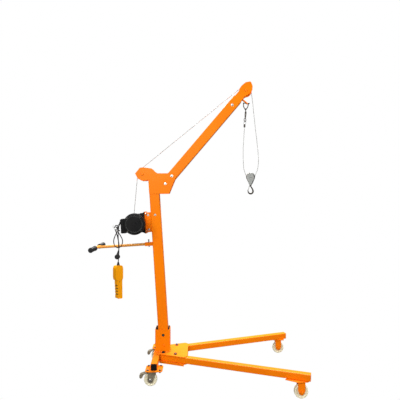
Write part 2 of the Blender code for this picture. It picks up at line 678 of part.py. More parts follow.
# ---------------------------------------------------------------- electric hoist
def hoist_bracket(lean):
    """Orange plate behind the hoist, held off the mast by two cheeks."""
    half = 0.088
    web = box_mesh((-0.0865, -0.0610, HOIST_Z - half), (-0.0805, 0.0610, HOIST_Z + half))
    bracket = part("hoist_bracket", web, ORANGE, lean)
    for side, sign in SIDES:
        low, high = sorted((sign * 0.034, sign * 0.040))
        cheek = box_mesh((-0.0810, low, HOIST_Z - 0.080), (-MAST / 2 - GAP, high, HOIST_Z + 0.080))
        join(bracket, helper("bracket_cheek_" + side, cheek, lean))


def hoist_frame(lean):
    """Black frame: a base plate and two side plates that carry the drum, motor and gearbox."""
    half = 0.088
    base = box_mesh((-0.0928, -0.0610, HOIST_Z - half), (-0.0868, 0.0610, HOIST_Z + half))
    frame = part("hoist_frame", base, CASTING, lean)
    outline = [(-0.0880, HOIST_Z - half), (-0.0880, HOIST_Z + half)]
    outline += arc((HOIST_X - 0.004, HOIST_Z), 0.066, 72, 288, 12)
    for side, sign in SIDES:
        mesh = outline_mesh("hoist_side", outline, 0.004, [ring((HOIST_X, HOIST_Z), 0.0108, 16)])
        join(frame, helper("hoist_side_" + side, mesh, lean, (0, sign * 0.059, 0), FLAT_IN_XZ))


def on_hoist_axis(name, profile, material, lean, steps=20, closed=False):
    """Turn a profile of (radius, y) points, from the far side to the near side, about the hoist's axis."""
    return turned(name, profile, material, lean, (HOIST_X, 0, HOIST_Z), ALONG_Y, steps, closed)


def hoist_machine(lean):
    drum = [(0, 0.110), (0.010, 0.110), (0.010, 0.052), (0.056, 0.052), (0.056, 0.049), (0.0357, 0.049),
            (0.0357, -0.049), (0.056, -0.049), (0.056, -0.052), (0.010, -0.052), (0.010, -0.0665),
            (0, -0.0665)]
    on_hoist_axis("hoist_drum", drum, WIRE_ROPE, lean)
    housing = [(0.0125, -0.0613), (0.076, -0.0613), (0.076, -0.166), (0.052, -0.166), (0.052, -0.070),
               (0.0125, -0.070)]
    on_hoist_axis("motor_housing", housing, CASTING, lean, 24, closed=True)
    rotor = [(0, -0.0700), (0.007, -0.0700), (0.007, -0.080), (0.0505, -0.080), (0.0505, -0.158),
             (0.007, -0.158), (0.007, -0.190), (0, -0.190)]
    on_hoist_axis("motor_rotor", rotor, STEEL, lean, 16)
    cap = [(0.081, -0.1663), (0.0845, -0.1663), (0.0845, -0.190), (0.078, -0.197),
           (0.063, -0.197), (0.060, -0.200), (0, -0.200), (0, -0.196), (0.058, -0.196),
           (0.074, -0.193), (0.081, -0.188)]
    on_hoist_axis("motor_end_cap", cap, CASTING, lean, 24, closed=True)
    gearbox = [(0, 0.150), (0.055, 0.150), (0.070, 0.140), (0.070, 0.0613), (0.064, 0.0613),
               (0.064, 0.136), (0.052, 0.145), (0, 0.145)]
    on_hoist_axis("gearbox_housing", gearbox, CASTING, lean)


def junction_box(lean):
    """Terminal box on the motor's side, with a gland for each of the two cables."""
    box = part("junction_box", box_mesh((-0.262, -0.160, 0.980), (-0.2300, -0.080, 1.094)), CASTING, lean)
    for name, y in (("mains", MAINS_Y), ("pendant", PENDANT_CABLE_Y)):
        gland = [(0, 0.020), (0.0055, 0.020), (0.0085, 0.012), (0.0085, 0.004), (0.0105, 0.004),
                 (0.0105, -0.012), (0, -0.012)]
        turned_gland = turned("gland_" + name, gland, None, None, (GLAND[0], y, GLAND[1]),
                              (0, GLAND_TURN, 0), 12)
        join(box, turned_gland)


def gland_exit(y):
    reach = 0.020 + GAP
    return (GLAND[0] + reach * math.sin(GLAND_TURN), y, GLAND[1] + reach * math.cos(GLAND_TURN))


# ---------------------------------------------------------------- push handle
def push_handle(lean, mast):
    """T-shaped round bar in the mast's stub, with rubber grips and a lock pin."""
    reach = HANDLE_REAR + 0.046
    middle = (HANDLE_REAR - 0.046) / 2
    handle = part("push_handle", rod_mesh(0.011, -reach), ORANGE, lean, (middle, 0, HANDLE_Z), ALONG_X)
    cross = rod_mesh(0.011, 2 * HANDLE_HALF)
    join(handle, helper("handle_cross", cross, lean, (HANDLE_REAR, 0, HANDLE_Z), ALONG_Y))
    hole = helper("lock_pin_hole", rod_mesh(0.004 + GAP, 0.12, 12), lean, (-0.074, 0, HANDLE_Z))
    cut(handle, hole)
    cut(mast, hole)
    pin = [(0, 0.038), (0.006, 0.038), (0.006, 0.031), (0.004, 0.031), (0.004, -0.024), (0, -0.024)]
    turned("handle_lock_pin", pin, ZINC, lean, (-0.074, 0, HANDLE_Z), steps=12)
    grip = [(0, 0.0045), (0.015, 0.0045), (GRIP_R, 0.000), (GRIP_R, -0.122), (0.0165, -0.126),
            (0.011 + GAP, -0.126), (0.011 + GAP, -GAP), (0, -GAP)]
    for side, sign in SIDES:
        place_at = (HANDLE_REAR, sign * (HANDLE_HALF + 2 * GAP), HANDLE_Z)
        turned("handle_grip_" + side, grip, RUBBER, lean, place_at, (-sign * math.pi / 2, 0, 0), 20)


# ---------------------------------------------------------------- pendant and cords
def pendant_case(axis):
    """Hand-held control: wide head, narrower grip with finger grooves, cable boot on top."""
    grooves = [(-0.024 - 0.0022 * (step % 2), 0.766 - 0.0120 * step) for step in range(10)]
    outline = [(0.024, 0.899), (-0.026, 0.899), (-0.034, 0.886), (-0.034, 0.812), (-0.030, 0.790)] + grooves
    outline += [(-0.020, 0.640), (0.020, 0.640), (0.025, 0.652), (0.023, 0.780), (0.031, 0.795)]
    outline += [(0.031, 0.888)]
    case = part("pendant_case", outline_mesh("case", outline, 0.048), YELLOW, axis, turn=FLAT_IN_XZ)
    bevel = case.modifiers.new("soft_edges", "BEVEL")
    bevel.width = 0.005
    bevel.segments = 1
    bevel.limit_method = "ANGLE"
    bevel.angle_limit = math.radians(60)
    boot = [(0, 0.926), (0.0065, 0.926), (0.0085, 0.915), (0.0130, 0.905), (0.0130, 0.895), (0, 0.895)]
    join(case, turned("pendant_boot", boot, None, axis, steps=12))
    for name, z, material in (("up", 0.860, BUTTON), ("down", 0.824, RUBBER)):
        cut(case, helper("pocket_" + name, rod_mesh(0.0100, 0.014), axis, (0.031, 0, z), ALONG_X))
        face = [(0, 0.0035), (0.0075, 0.0035), (0.0092, 0.0015), (0.0092, -0.0035), (0, -0.0035)]
        turned("button_" + name, face, material, axis, (0.0320, 0, z), ALONG_X, 16)


def pendant_cable():
    """Control cable from its gland straight down to the pendant's boot."""
    x, y = PENDANT
    exit_at = gland_exit(PENDANT_CABLE_Y)
    route = [exit_at, (-0.6085, -0.1055, 1.2240), (-0.6160, -0.108, 1.2000), (-0.6190, -0.112, 1.1650),
             (-0.6180, -0.116, 1.1200), (-0.6145, -0.119, 1.0700), (-0.6120, -0.120, 1.0200),
             (-0.6135, -0.120, 0.9700), (x, y, 0.9262 + GAP)]
    part("pendant_cable", wire_mesh("pendant_cable", smooth_route(route, CORD_SPACING), CORD_R), RUBBER)


def mains_lead():
    """Short supply lead: out of its gland, once round a teardrop loop, through the knot, down to the plug."""
    route = [gland_exit(MAINS_Y), (-0.6090, -0.1405, 1.2245), (-0.6180, -0.1410, 1.2010),
             (-0.6130, -0.1420, 1.1700), (-0.5950, -0.1430, 1.1380), (-0.5790, -0.1440, 1.1050),
             (-0.5820, -0.1450, 1.0700), (-0.6000, -0.1465, 1.0480), (-0.6230, -0.1480, 1.0460),
             (-0.6420, -0.1495, 1.0670), (-0.6460, -0.1505, 1.1020), (-0.6350, -0.1515, 1.1380),
             (-0.6190, -0.1525, 1.1680), (-0.6060, -0.1540, 1.1930), (-0.6100, -0.1560, 1.2160),
             (-0.6270, -0.1590, 1.2200), (-0.6360, -0.1620, 1.2030), (-0.6290, -0.1640, 1.1790),
             (-0.6180, -0.1650, 1.1500), (-0.6090, -0.1655, 1.1100), (-0.6020, -0.1660, 1.0750),
             plug_axis_point(PLUG_BOOT + 0.020), plug_axis_point(PLUG_BOOT + 2 * GAP)]
    part("mains_lead", wire_mesh("mains_lead", smooth_route(route, CORD_SPACING), CORD_R), RUBBER)


def plug_axis_point(reach):
    return (PLUG[0] + reach * math.sin(PLUG_TILT), PLUG[1], PLUG[2] + reach * math.cos(PLUG_TILT))


def mains_plug():
    """Round angled two-pin plug with a tapered boot."""
    disc = [(0, 0.013), (0.0175, 0.013), (0.020, 0.0105), (0.020, -0.008), (0.0155, -0.013), (0, -0.013)]
    plug = turned("mains_plug", disc, RUBBER, None, PLUG, ALONG_Y, 24)
    boot = [(0, PLUG_BOOT), (0.0050, PLUG_BOOT), (0.0095, 0.020), (0.0095, 0.008), (0, 0.008)]
    join(plug, turned("plug_boot", boot, None, None, PLUG, (0, PLUG_TILT, 0), 12))
    for side, sign in SIDES:
        pin_at = (PLUG[0] + sign * 0.0095, PLUG[1] + 0.0215, PLUG[2])
        join(plug, helper("plug_pin_" + side, rod_mesh(0.0024, 0.019, 10), None, pin_at, ALONG_Y))


# ---------------------------------------------------------------- build
def build():
    lean = axis_empty("mast_axis", MAST_FOOT, (0, -MAST_LEAN, 0))
    rear_crossbeam()
    deck_plates()
    for side, sign in SIDES:
        leg(side, sign)
        pivot_bolt(side, sign)
        front_fork(side, sign)
        wheel("front_wheel_" + side, FRONT_WHEEL_X, sign * FRONT_WHEEL_Y)
        caster(side, sign)
    socket = mast_socket()
    mast = mast_tube(lean)
    plates = head_plates()
    bolt_x = MAST_FOOT[0] - (SOCKET_BOLT_Z - MAST_FOOT[2]) * math.tan(MAST_LEAN)
    cross_bolt("socket_bolt", None, bolt_x, SOCKET_BOLT_Z, 0.046, hole_in=(socket, mast))
    tip = boom_parts(plates)
    sheave("rear_sheave", REAR_SHEAVE, SHEAVE_ROPE_R, SHEAVE_R, 0.011, 0.014, 0.0385, 0.0084)
    cross_bolt("rear_sheave_axle", None, *REAR_SHEAVE, MAST / 2 + GAP + HEAD_PLATE_T, 0.008, plates)
    sheave("tip_sheave", TIP_SHEAVE, SHEAVE_ROPE_R, SHEAVE_R, 0.011, 0.014, 0.0260, 0.0084)
    cross_bolt("tip_sheave_axle", None, *TIP_SHEAVE, TIP_TUBE / 2, 0.008, (tip,))
    shackle()
    clip = rope_ferrule(*swivel_link())
    rope_end = hoist_rope(in_mast_frame(HOIST_X, HOIST_Z))
    fall_rope(rope_end, clip)
    hook_block()
    load_hook()
    hook_latch()
    hoist_bracket(lean)
    hoist_frame(lean)
    hoist_machine(lean)
    junction_box(lean)
    push_handle(lean, mast)
    pendant = axis_empty("pendant_axis", (*PENDANT, 0), (0, 0, PENDANT_TURN))
    pendant_case(pendant)
    pendant_cable()
    mains_lead()
    mains_plug()


build()
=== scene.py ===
# %% [markdown]
# # A mobile floor crane
# A workshop crane on wheels: a leaning mast in a socket, a boom with a rope sheave at its tip, a small
# electric hoist behind the mast, and two legs that fold inwards. The working pieces come in as a fixed
# frame, so this file never moves or resizes them. It gives every surface its finish, and it puts finer
# pieces in place of the ones that are too plain to be looked at from near.

# %% Load the frame
import json
import math

import bmesh
import bpy
from mathutils import Matrix, Vector


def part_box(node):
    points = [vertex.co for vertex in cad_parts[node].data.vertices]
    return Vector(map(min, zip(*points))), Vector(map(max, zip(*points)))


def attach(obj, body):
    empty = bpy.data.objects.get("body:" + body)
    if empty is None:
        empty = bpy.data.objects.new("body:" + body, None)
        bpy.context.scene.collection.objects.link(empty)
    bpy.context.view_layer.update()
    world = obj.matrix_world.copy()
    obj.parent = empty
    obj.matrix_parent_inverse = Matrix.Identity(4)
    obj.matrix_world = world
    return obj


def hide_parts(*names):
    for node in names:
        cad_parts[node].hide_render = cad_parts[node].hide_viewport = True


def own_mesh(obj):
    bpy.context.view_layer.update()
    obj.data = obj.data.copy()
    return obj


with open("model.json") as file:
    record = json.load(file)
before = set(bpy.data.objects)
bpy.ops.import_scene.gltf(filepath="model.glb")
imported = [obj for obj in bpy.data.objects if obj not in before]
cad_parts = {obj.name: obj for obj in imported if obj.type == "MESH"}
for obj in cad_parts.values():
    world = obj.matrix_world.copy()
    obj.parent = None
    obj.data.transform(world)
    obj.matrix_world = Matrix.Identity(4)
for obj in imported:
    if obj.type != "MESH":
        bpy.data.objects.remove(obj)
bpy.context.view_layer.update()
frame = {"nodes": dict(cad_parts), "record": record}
for name in ("Cube", "Light", "Camera"):
    default_object = bpy.data.objects.get(name)
    if default_object:
        bpy.data.objects.remove(default_object, do_unlink=True)
nodes = frame["nodes"]

# %% [markdown]
# ## The eye
# The crane is seen from its near side, level, from a little above the middle of the mast. A level camera
# keeps the upright edges upright. A 36 mm lens on a 36 mm wide sensor sees one metre of width for each
# metre of distance, so the distance alone sets how large the crane appears.

# %% Camera
EYE = (0.033, -3.3, 1.42)
camera_data = bpy.data.cameras.new("crane_camera")
camera_data.sensor_width = 36
camera_data.lens = 36
camera = bpy.data.objects.new("crane_camera", camera_data)
camera.location = EYE
camera.rotation_euler = (math.pi / 2, 0, 0)
bpy.context.scene.collection.objects.link(camera)
bpy.context.scene.camera = camera

# %% [markdown]
# ## Effects that the finishes share
# Paint, plating and plastic all show the same few things in different amounts: fine relief, slow changes of
# tone, scuffed edges and dust on what faces up; on the orange paint the lighter edge colour is a painted
# edge highlight. Each is a shader node group with its own inputs, so a material only says how much of it
# there is. All of them read Object coordinates, which stay put when a piece moves, because every mesh holds
# its place in its own points.

# %% A helper for shader groups
def shader_group(name, inputs, outputs):
    tree = bpy.data.node_groups.new(name, "ShaderNodeTree")
    for label, value in inputs:
        socket = tree.interface.new_socket(label, in_out="INPUT", socket_type="NodeSocketFloat")
        socket.default_value = value
    for label in outputs:
        tree.interface.new_socket(label, in_out="OUTPUT", socket_type="NodeSocketFloat")
    return tree, tree.nodes.new("NodeGroupInput"), tree.nodes.new("NodeGroupOutput")


def node(tree, kind, inputs=(), **settings):
    """Add a node, set its properties, and set or link its inputs."""
    made = tree.nodes.new(kind)
    for key, value in settings.items():
        setattr(made, key, value)
    for key, value in dict(inputs).items():
        if isinstance(value, bpy.types.NodeSocket):
            tree.links.new(value, made.inputs[key])
        else:
            made.inputs[key].default_value = value
    return made


# %% Fine relief and slow tone
def fine_relief():
    """Height is the small relief of the surface, Tone a slow drift from 0 to 1 across it."""
    tree, given, out = shader_group("fine_relief", [("Relief Scale", 500), ("Tone Scale", 6)],
                                    ["Height", "Tone"])
    where = node(tree, "ShaderNodeTexCoord").outputs["Object"]
    bumps = node(tree, "ShaderNodeTexNoise", {"Vector": where, "Scale": given.outputs["Relief Scale"],
                                              "Detail": 3.0, "Roughness": 0.55})
    drift = node(tree, "ShaderNodeTexNoise", {"Vector": where, "Scale": given.outputs["Tone Scale"],
                                              "Detail": 4.0, "Roughness": 0.6})
    spread = node(tree, "ShaderNodeMapRange", {"Value": drift.outputs["Fac"], "From Min": 0.35,
                                               "From Max": 0.65})
    tree.links.new(bumps.outputs["Fac"], out.inputs["Height"])
    tree.links.new(spread.outputs["Result"], out.inputs["Tone"])
    return tree


# %% Worn edges and painted edge highlight
def worn_edges():
    """Mask is 1 on scuffed edges, found by comparing the true normal with a rounded one. On the orange paint
    it lays a painted edge highlight.
    """
    tree, given, out = shader_group("worn_edges", [("Reach", 0.002), ("Breakup Scale", 60), ("Amount", 1)],
                                    ["Mask"])
    true_normal = node(tree, "ShaderNodeNewGeometry").outputs["Normal"]
    round_normal = node(tree, "ShaderNodeBevel", {"Radius": given.outputs["Reach"]}, samples=4)
    alike = node(tree, "ShaderNodeVectorMath", {0: true_normal, 1: round_normal.outputs["Normal"]},
                 operation="DOT_PRODUCT")
    edge = node(tree, "ShaderNodeMapRange", {"Value": alike.outputs["Value"], "From Min": 0.995,
                                             "From Max": 0.90})
    where = node(tree, "ShaderNodeTexCoord").outputs["Object"]
    breakup = node(tree, "ShaderNodeTexNoise", {"Vector": where, "Scale": given.outputs["Breakup Scale"],
                                                "Detail": 5.0})
    patches = node(tree, "ShaderNodeMapRange", {"Value": breakup.outputs["Fac"], "From Min": 0.42,
                                                "From Max": 0.62})
    broken = node(tree, "ShaderNodeMath", {0: edge.outputs["Result"], 1: patches.outputs["Result"]},
                  operation="MULTIPLY")
    scaled = node(tree, "ShaderNodeMath", {0: broken.outputs["Value"], 1: given.outputs["Amount"]},
                  operation="MULTIPLY", use_clamp=True)
    tree.links.new(scaled.outputs["Value"], out.inputs["Mask"])
    return tree


# %% Dust on what faces up
def settled_dust():
    """Mask is the dust: most where the surface faces up, broken by a soft noise."""
    tree, given, out = shader_group("settled_dust", [("Amount", 0.1), ("Cloud Scale", 9)], ["Mask"])
    normal = node(tree, "ShaderNodeNewGeometry").outputs["Normal"]
    up = node(tree, "ShaderNodeSeparateXYZ", {0: normal})
    facing = node(tree, "ShaderNodeMapRange", {"Value": up.outputs["Z"], "From Min": 0.2, "From Max": 1.0})
    where = node(tree, "ShaderNodeTexCoord").outputs["Object"]
    cloud = node(tree, "ShaderNodeTexNoise", {"Vector": where, "Scale": given.outputs["Cloud Scale"],
                                              "Detail": 6.0})
    soft = node(tree, "ShaderNodeMath", {0: facing.outputs["Result"], 1: cloud.outputs["Fac"]},
                operation="MULTIPLY")
    mask = node(tree, "ShaderNodeMath", {0: soft.outputs["Value"], 1: given.outputs["Amount"]},
                operation="MULTIPLY", use_clamp=True)
    tree.links.new(mask.outputs["Value"], out.inputs["Mask"])
    return tree


RELIEF = fine_relief()
EDGE_WEAR_AND_HIGHLIGHT = worn_edges()
DUST = settled_dust()

# %% [markdown]
# ## The finishes
# One function wires the shared effects to a Principled BSDF, and each finish gives its own values: the
# colour and a second tone of it, how rough it is where it is clean and where it is dull, how deep its
# relief is, and what its edges show: scuffs on most finishes, a painted edge highlight on the orange paint.
# The numbers are colours in linear light.

# %% From values to a material
def finish(name, colour, second, rough, metallic=0.0, relief=(500, 0.00004), tone_scale=6.0,
           edge=(0.5, 0.5, 0.5), wear_and_highlight=(0.002, 0.5), dust=0.06, shine=0.3):
    made = bpy.data.materials.new(name)
    made.use_nodes = True
    tree = made.node_tree
    shader = tree.nodes["Principled BSDF"]
    fine = node(tree, "ShaderNodeGroup", node_tree=RELIEF)
    fine.inputs["Relief Scale"].default_value = relief[0]
    fine.inputs["Tone Scale"].default_value = tone_scale
    wear_and_highlight_mask = node(tree, "ShaderNodeGroup", node_tree=EDGE_WEAR_AND_HIGHLIGHT)
    wear_and_highlight_mask.inputs["Reach"].default_value = wear_and_highlight[0]
    wear_and_highlight_mask.inputs["Amount"].default_value = wear_and_highlight[1]
    dusty = node(tree, "ShaderNodeGroup", node_tree=DUST)
    dusty.inputs["Amount"].default_value = dust
    tint = node(tree, "ShaderNodeMix", {0: fine.outputs["Tone"], 6: (*colour, 1), 7: (*second, 1)},
                data_type="RGBA")
    # The edge colour goes on the edges: scuffs on most finishes, a painted edge highlight on the orange
    # paint.
    wear_and_highlight_colour = mix_colour(tree, wear_and_highlight_mask.outputs["Mask"], tint, edge)
    top = mix_colour(tree, dusty.outputs["Mask"], wear_and_highlight_colour, (0.55, 0.52, 0.47))
    tree.links.new(top.outputs[2], shader.inputs["Base Color"])
    matt = node(tree, "ShaderNodeMapRange", {"Value": fine.outputs["Tone"], "To Min": rough[0],
                                             "To Max": rough[1]})
    tree.links.new(matt.outputs["Result"], shader.inputs["Roughness"])
    bump = node(tree, "ShaderNodeBump", {"Height": fine.outputs["Height"], "Distance": relief[1]})
    tree.links.new(bump.outputs["Normal"], shader.inputs["Normal"])
    shader.inputs["Metallic"].default_value = metallic
    shader.inputs["Specular IOR Level"].default_value = shine
    return made


def mix_colour(tree, factor, below, above):
    """Lay a colour over the result of an earlier colour mix."""
    mix = node(tree, "ShaderNodeMix", data_type="RGBA")
    tree.links.new(factor, mix.inputs[0])
    tree.links.new(below.outputs[2], mix.inputs[6])
    mix.inputs[7].default_value = (*above, 1)
    return mix


# %% [markdown]
# ## Paint, plating and castings
# The frame is powder coated: a saturated orange with a faint orange-peel relief and a low sheen. Small
# steel parts are zinc plated, which drifts between silver and a warm grey. The hook, the rope's end
# fittings and the base's bolts are dark steel. The hoist is cast and painted black.

# %% Metal finishes
# The orange's lighter, yellower edge colour is a painted edge highlight, not chipped paint.
ORANGE = finish("orange_paint", (0.95, 0.232, 0.0014), (0.93, 0.196, 0.0010), (0.26, 0.40),
                relief=(420, 0.00006), tone_scale=3.0, edge=(0.98, 0.42, 0.06), wear_and_highlight=(0.0020, 0.45),
                dust=0.04, shine=0.08)
ZINC = finish("zinc_plate", (0.62, 0.61, 0.57), (0.44, 0.42, 0.37), (0.24, 0.44), metallic=1.0,
              relief=(900, 0.00002), tone_scale=40, edge=(0.80, 0.79, 0.76), wear_and_highlight=(0.0010, 0.5), dust=0.08)
STEEL = finish("dark_steel", (0.060, 0.055, 0.050), (0.110, 0.100, 0.085), (0.34, 0.52), metallic=1.0,
               relief=(350, 0.00010), tone_scale=60, edge=(0.45, 0.44, 0.42), wear_and_highlight=(0.0012, 0.7), dust=0.05)
CASTING = finish("black_casting", (0.0055, 0.0055, 0.0060), (0.0095, 0.0090, 0.0090), (0.34, 0.50),
                 relief=(700, 0.00012), tone_scale=14, edge=(0.05, 0.05, 0.05), wear_and_highlight=(0.0012, 0.5),
                 dust=0.02, shine=0.10)
# A lighter black with bright edges for the motor cover's ring: a painted highlight round the cover.
PAINTED_HIGHLIGHT_RIM = finish("rubbed_black_rim", (0.045, 0.048, 0.045), (0.030, 0.032, 0.030), (0.25, 0.38),
                     relief=(700, 0.00005), tone_scale=14, edge=(0.22, 0.22, 0.22), wear_and_highlight=(0.0015, 0.8))
PRESSED_ZINC = finish("pressed_zinc", (0.43, 0.44, 0.42), (0.35, 0.36, 0.34), (0.30, 0.42), metallic=0.35,
                      relief=(900, 0.00002), tone_scale=60, edge=(0.70, 0.70, 0.69),
                      wear_and_highlight=(0.0010, 0.5), dust=0.03)
WORN_ZINC = finish("worn_zinc", (0.46, 0.39, 0.28), (0.30, 0.25, 0.17), (0.28, 0.46), metallic=0.6,
                   relief=(900, 0.00002), tone_scale=60, edge=(0.72, 0.70, 0.64), wear_and_highlight=(0.0010, 0.6),
                   dust=0.08)
WIRE = finish("wire_rope", (0.50, 0.50, 0.48), (0.40, 0.40, 0.38), (0.35, 0.50), metallic=0.25,
              relief=(1500, 0.00002), tone_scale=30, edge=(0.8, 0.8, 0.8), wear_and_highlight=(0.0004, 0.3), dust=0.0)

# %% [markdown]
# ## Nylon, rubber and moulded plastic
# The wheels are solid cast nylon, a warm ivory that yellows unevenly. Cables and grips are black rubber
# with a fine grain. The pendant's case is moulded in a yellow-orange plastic, and its buttons are green and
# black.

# %% Soft and moulded finishes
NYLON = finish("ivory_nylon", (0.90, 0.84, 0.63), (0.84, 0.75, 0.51), (0.34, 0.50), relief=(600, 0.00004),
               tone_scale=18, edge=(0.62, 0.56, 0.44), wear_and_highlight=(0.0015, 0.5), dust=0.08)
RUBBER = finish("black_rubber", (0.008, 0.008, 0.009), (0.016, 0.015, 0.015), (0.45, 0.66),
                relief=(1400, 0.00006), tone_scale=22, edge=(0.04, 0.04, 0.04), wear_and_highlight=(0.0012, 0.4), dust=0.02)
YELLOW = finish("yellow_plastic", (0.93, 0.375, 0.002), (0.88, 0.33, 0.001), (0.32, 0.46),
                relief=(1100, 0.00005), tone_scale=12, edge=(0.95, 0.48, 0.03), wear_and_highlight=(0.0015, 0.3),
                dust=0.02, shine=0.08)
GREEN = finish("green_plastic", (0.03, 0.27, 0.07), (0.02, 0.20, 0.05), (0.28, 0.40), relief=(900, 0.00003),
               tone_scale=50, edge=(0.10, 0.40, 0.14), wear_and_highlight=(0.0008, 0.4), dust=0.02)
HANDLE_PAINT = finish("handle_paint", (0.58, 0.235, 0.030), (0.86, 0.350, 0.045), (0.30, 0.45),
                      relief=(420, 0.00006), tone_scale=5.0, edge=(0.90, 0.55, 0.25), wear_and_highlight=(0.0020, 0.5),
                      dust=0.04, shine=0.2)
TIE = finish("cable_tie", (0.62, 0.62, 0.60), (0.52, 0.52, 0.50), (0.25, 0.35), metallic=0.5,
             relief=(900, 0.00002), tone_scale=60, edge=(0.8, 0.8, 0.8), wear_and_highlight=(0.0006, 0.3), dust=0.0)
SLOT_FINISH = {"orange_paint": ORANGE, "zinc_plate": ZINC, "dark_steel": STEEL, "ivory_nylon": NYLON,
               "black_casting": CASTING, "black_rubber": RUBBER, "wire_rope": WIRE,
               "yellow_plastic": YELLOW, "green_plastic": GREEN}

# %% [markdown]
# ## The frame's own pieces
# The tubes, plates, forks and brackets already have their true shape. They get their finish here, and a
# bevel of under a millimetre, because a perfectly sharp edge never catches a highlight. The imported
# meshes are loose triangles, so a weld closes them before the bevel rounds them.

# %% Dress the frame
EDGE_ROUND = 0.0008
for entry in frame["record"]["subparts"]:
    cad_piece = nodes[entry["node"]]
    cad_piece.data.materials.clear()
    surface = SLOT_FINISH[entry["material_slot"]]
    if entry["node"].startswith(("caster_", "brake_")):
        surface = WORN_ZINC
    elif entry["node"] == "push_handle":
        surface = HANDLE_PAINT
    cad_piece.data.materials.append(surface)
    weld = cad_piece.modifiers.new("weld", "WELD")
    weld.merge_threshold = 0.00001
    bevel = cad_piece.modifiers.new("edge_round", "BEVEL")
    bevel.width = EDGE_ROUND
    bevel.segments = 2
    bevel.limit_method = "ANGLE"
    bevel.angle_limit = math.radians(50)
    bevel.harden_normals = False
print("dressed", len(nodes), "frame pieces")

# %% [markdown]
# ## Tools for the finer pieces
# Most finer pieces are one of three things: a profile turned about an axis, an outline given a thickness,
# or a bar swept along a path. Each helper builds its mesh around the origin, and a matrix then moves the
# points, not the object, so the object itself stays at the origin and the patterns stay in place.

# %% Mesh helpers
ALONG_Y = Matrix.Rotation(-math.pi / 2, 4, "X")
ALONG_X = Matrix.Rotation(math.pi / 2, 4, "Y")
FLAT_IN_XZ = Matrix.Rotation(math.pi / 2, 4, "X")
SMOOTH_BELOW = math.radians(35)


def at(x, y, z):
    return Matrix.Translation((x, y, z))


def piece(name, mesh, material, body, place=Matrix(), stands_for=(), round_edges=0.0):
    """Make a mesh a named piece of the crane: placed, finished and riding on a body."""
    mesh.transform(place)
    mesh.materials.clear()
    mesh.materials.append(material)
    mesh.shade_smooth()
    mesh.set_sharp_from_angle(angle=SMOOTH_BELOW)
    made = bpy.data.objects.new(name, mesh)
    bpy.context.scene.collection.objects.link(made)
    if round_edges:
        bevel = made.modifiers.new("edge_round", "BEVEL")
        bevel.width = round_edges
        bevel.segments = 2
        bevel.limit_method = "ANGLE"
        bevel.angle_limit = math.radians(40)
    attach(made, body)
    if stands_for:
        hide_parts(*stands_for)
    return made


def turned(profile, steps=48, closed=False):
    """Turn (radius, height) points about Z. Points at radius 0 become poles."""
    shape = bmesh.new()
    rings = []
    for radius, height in profile:
        count = steps if radius > 1e-6 else 1
        turns = [2 * math.pi * i / steps for i in range(count)]
        rings.append([shape.verts.new((radius * math.cos(a), radius * math.sin(a), height)) for a in turns])
    following = rings[1:] + ([rings[0]] if closed else [])
    for upper, lower in zip(rings, following):
        for i in range(steps):
            corners = [ring[k % len(ring)] for ring, k in
                       ((upper, i), (upper, i + 1 - steps * (i + 1 == steps)),
                        (lower, i + 1 - steps * (i + 1 == steps)), (lower, i))]
            corners = list(dict.fromkeys(corners))
            if len(corners) > 2:
                shape.faces.new(corners)
    return finished_mesh(shape)


def finished_mesh(shape, merge=0.000001):
    """Merge doubles, turn the faces outwards and hand over the mesh."""
    bmesh.ops.remove_doubles(shape, verts=shape.verts, dist=merge)
    bmesh.ops.recalc_face_normals(shape, faces=shape.faces)
    mesh = bpy.data.meshes.new("made")
    shape.to_mesh(mesh)
    shape.free()
    return mesh


def evaluated_mesh(holder):
    """The mesh that an object shows, with the object itself removed."""
    bpy.context.view_layer.update()
    seen = holder.evaluated_get(bpy.context.evaluated_depsgraph_get())
    mesh = bpy.data.meshes.new_from_object(seen)
    bpy.data.objects.remove(holder)
    return mesh


def curve_mesh(curve):
    holder = bpy.data.objects.new("path", curve)
    bpy.context.scene.collection.objects.link(holder)
    mesh = evaluated_mesh(holder)
    shape = bmesh.new()
    shape.from_mesh(mesh)
    return finished_mesh(shape, 0.00001)


def poly_curve(name, points, cyclic=False, radii=None):
    curve = bpy.data.curves.new(name, "CURVE")
    curve.dimensions = "3D"
    spline = curve.splines.new("POLY")
    spline.points.add(len(points) - 1)
    for index, place in enumerate(points):
        spline.points[index].co = (*place, 1)
        spline.points[index].radius = radii[index] if radii else 1.0
    spline.use_cyclic_u = cyclic
    return curve


def swept(points, radius, resolution=6, cyclic=False, radii=None):
    """A round bar along the points, with closed ends."""
    curve = poly_curve("bar", points, cyclic, radii)
    curve.bevel_depth = radius
    curve.bevel_resolution = resolution
    curve.use_fill_caps = not cyclic
    return curve_mesh(curve)


def outline(loop, thickness, holes=()):
    """A flat outline in XY, given a thickness along Z about the plane."""
    curve = bpy.data.curves.new("outline", "CURVE")
    curve.dimensions = "2D"
    curve.fill_mode = "BOTH"
    curve.extrude = thickness / 2
    for ring in (loop, *holes):
        spline = curve.splines.new("POLY")
        spline.points.add(len(ring) - 1)
        for point, (x, y) in zip(spline.points, ring):
            point.co = (x, y, 0, 1)
        spline.use_cyclic_u = True
    return curve_mesh(curve)


def arc(centre, radius, start, end, count):
    """Points on a circle, from one angle in degrees to another."""
    turns = [math.radians(start + (end - start) * i / (count - 1)) for i in range(count)]
    return [(centre[0] + radius * math.cos(a), centre[1] + radius * math.sin(a)) for a in turns]


def rounded_box(size_x, size_y, corner, count=6):
    """Outline of a rectangle about the origin with round corners."""
    points = []
    for quarter, (side_x, side_y) in enumerate(((1, 1), (-1, 1), (-1, -1), (1, -1))):
        middle = (side_x * (size_x / 2 - corner), side_y * (size_y / 2 - corner))
        points += arc(middle, corner, 90 * quarter, 90 * quarter + 90, count)
    return points


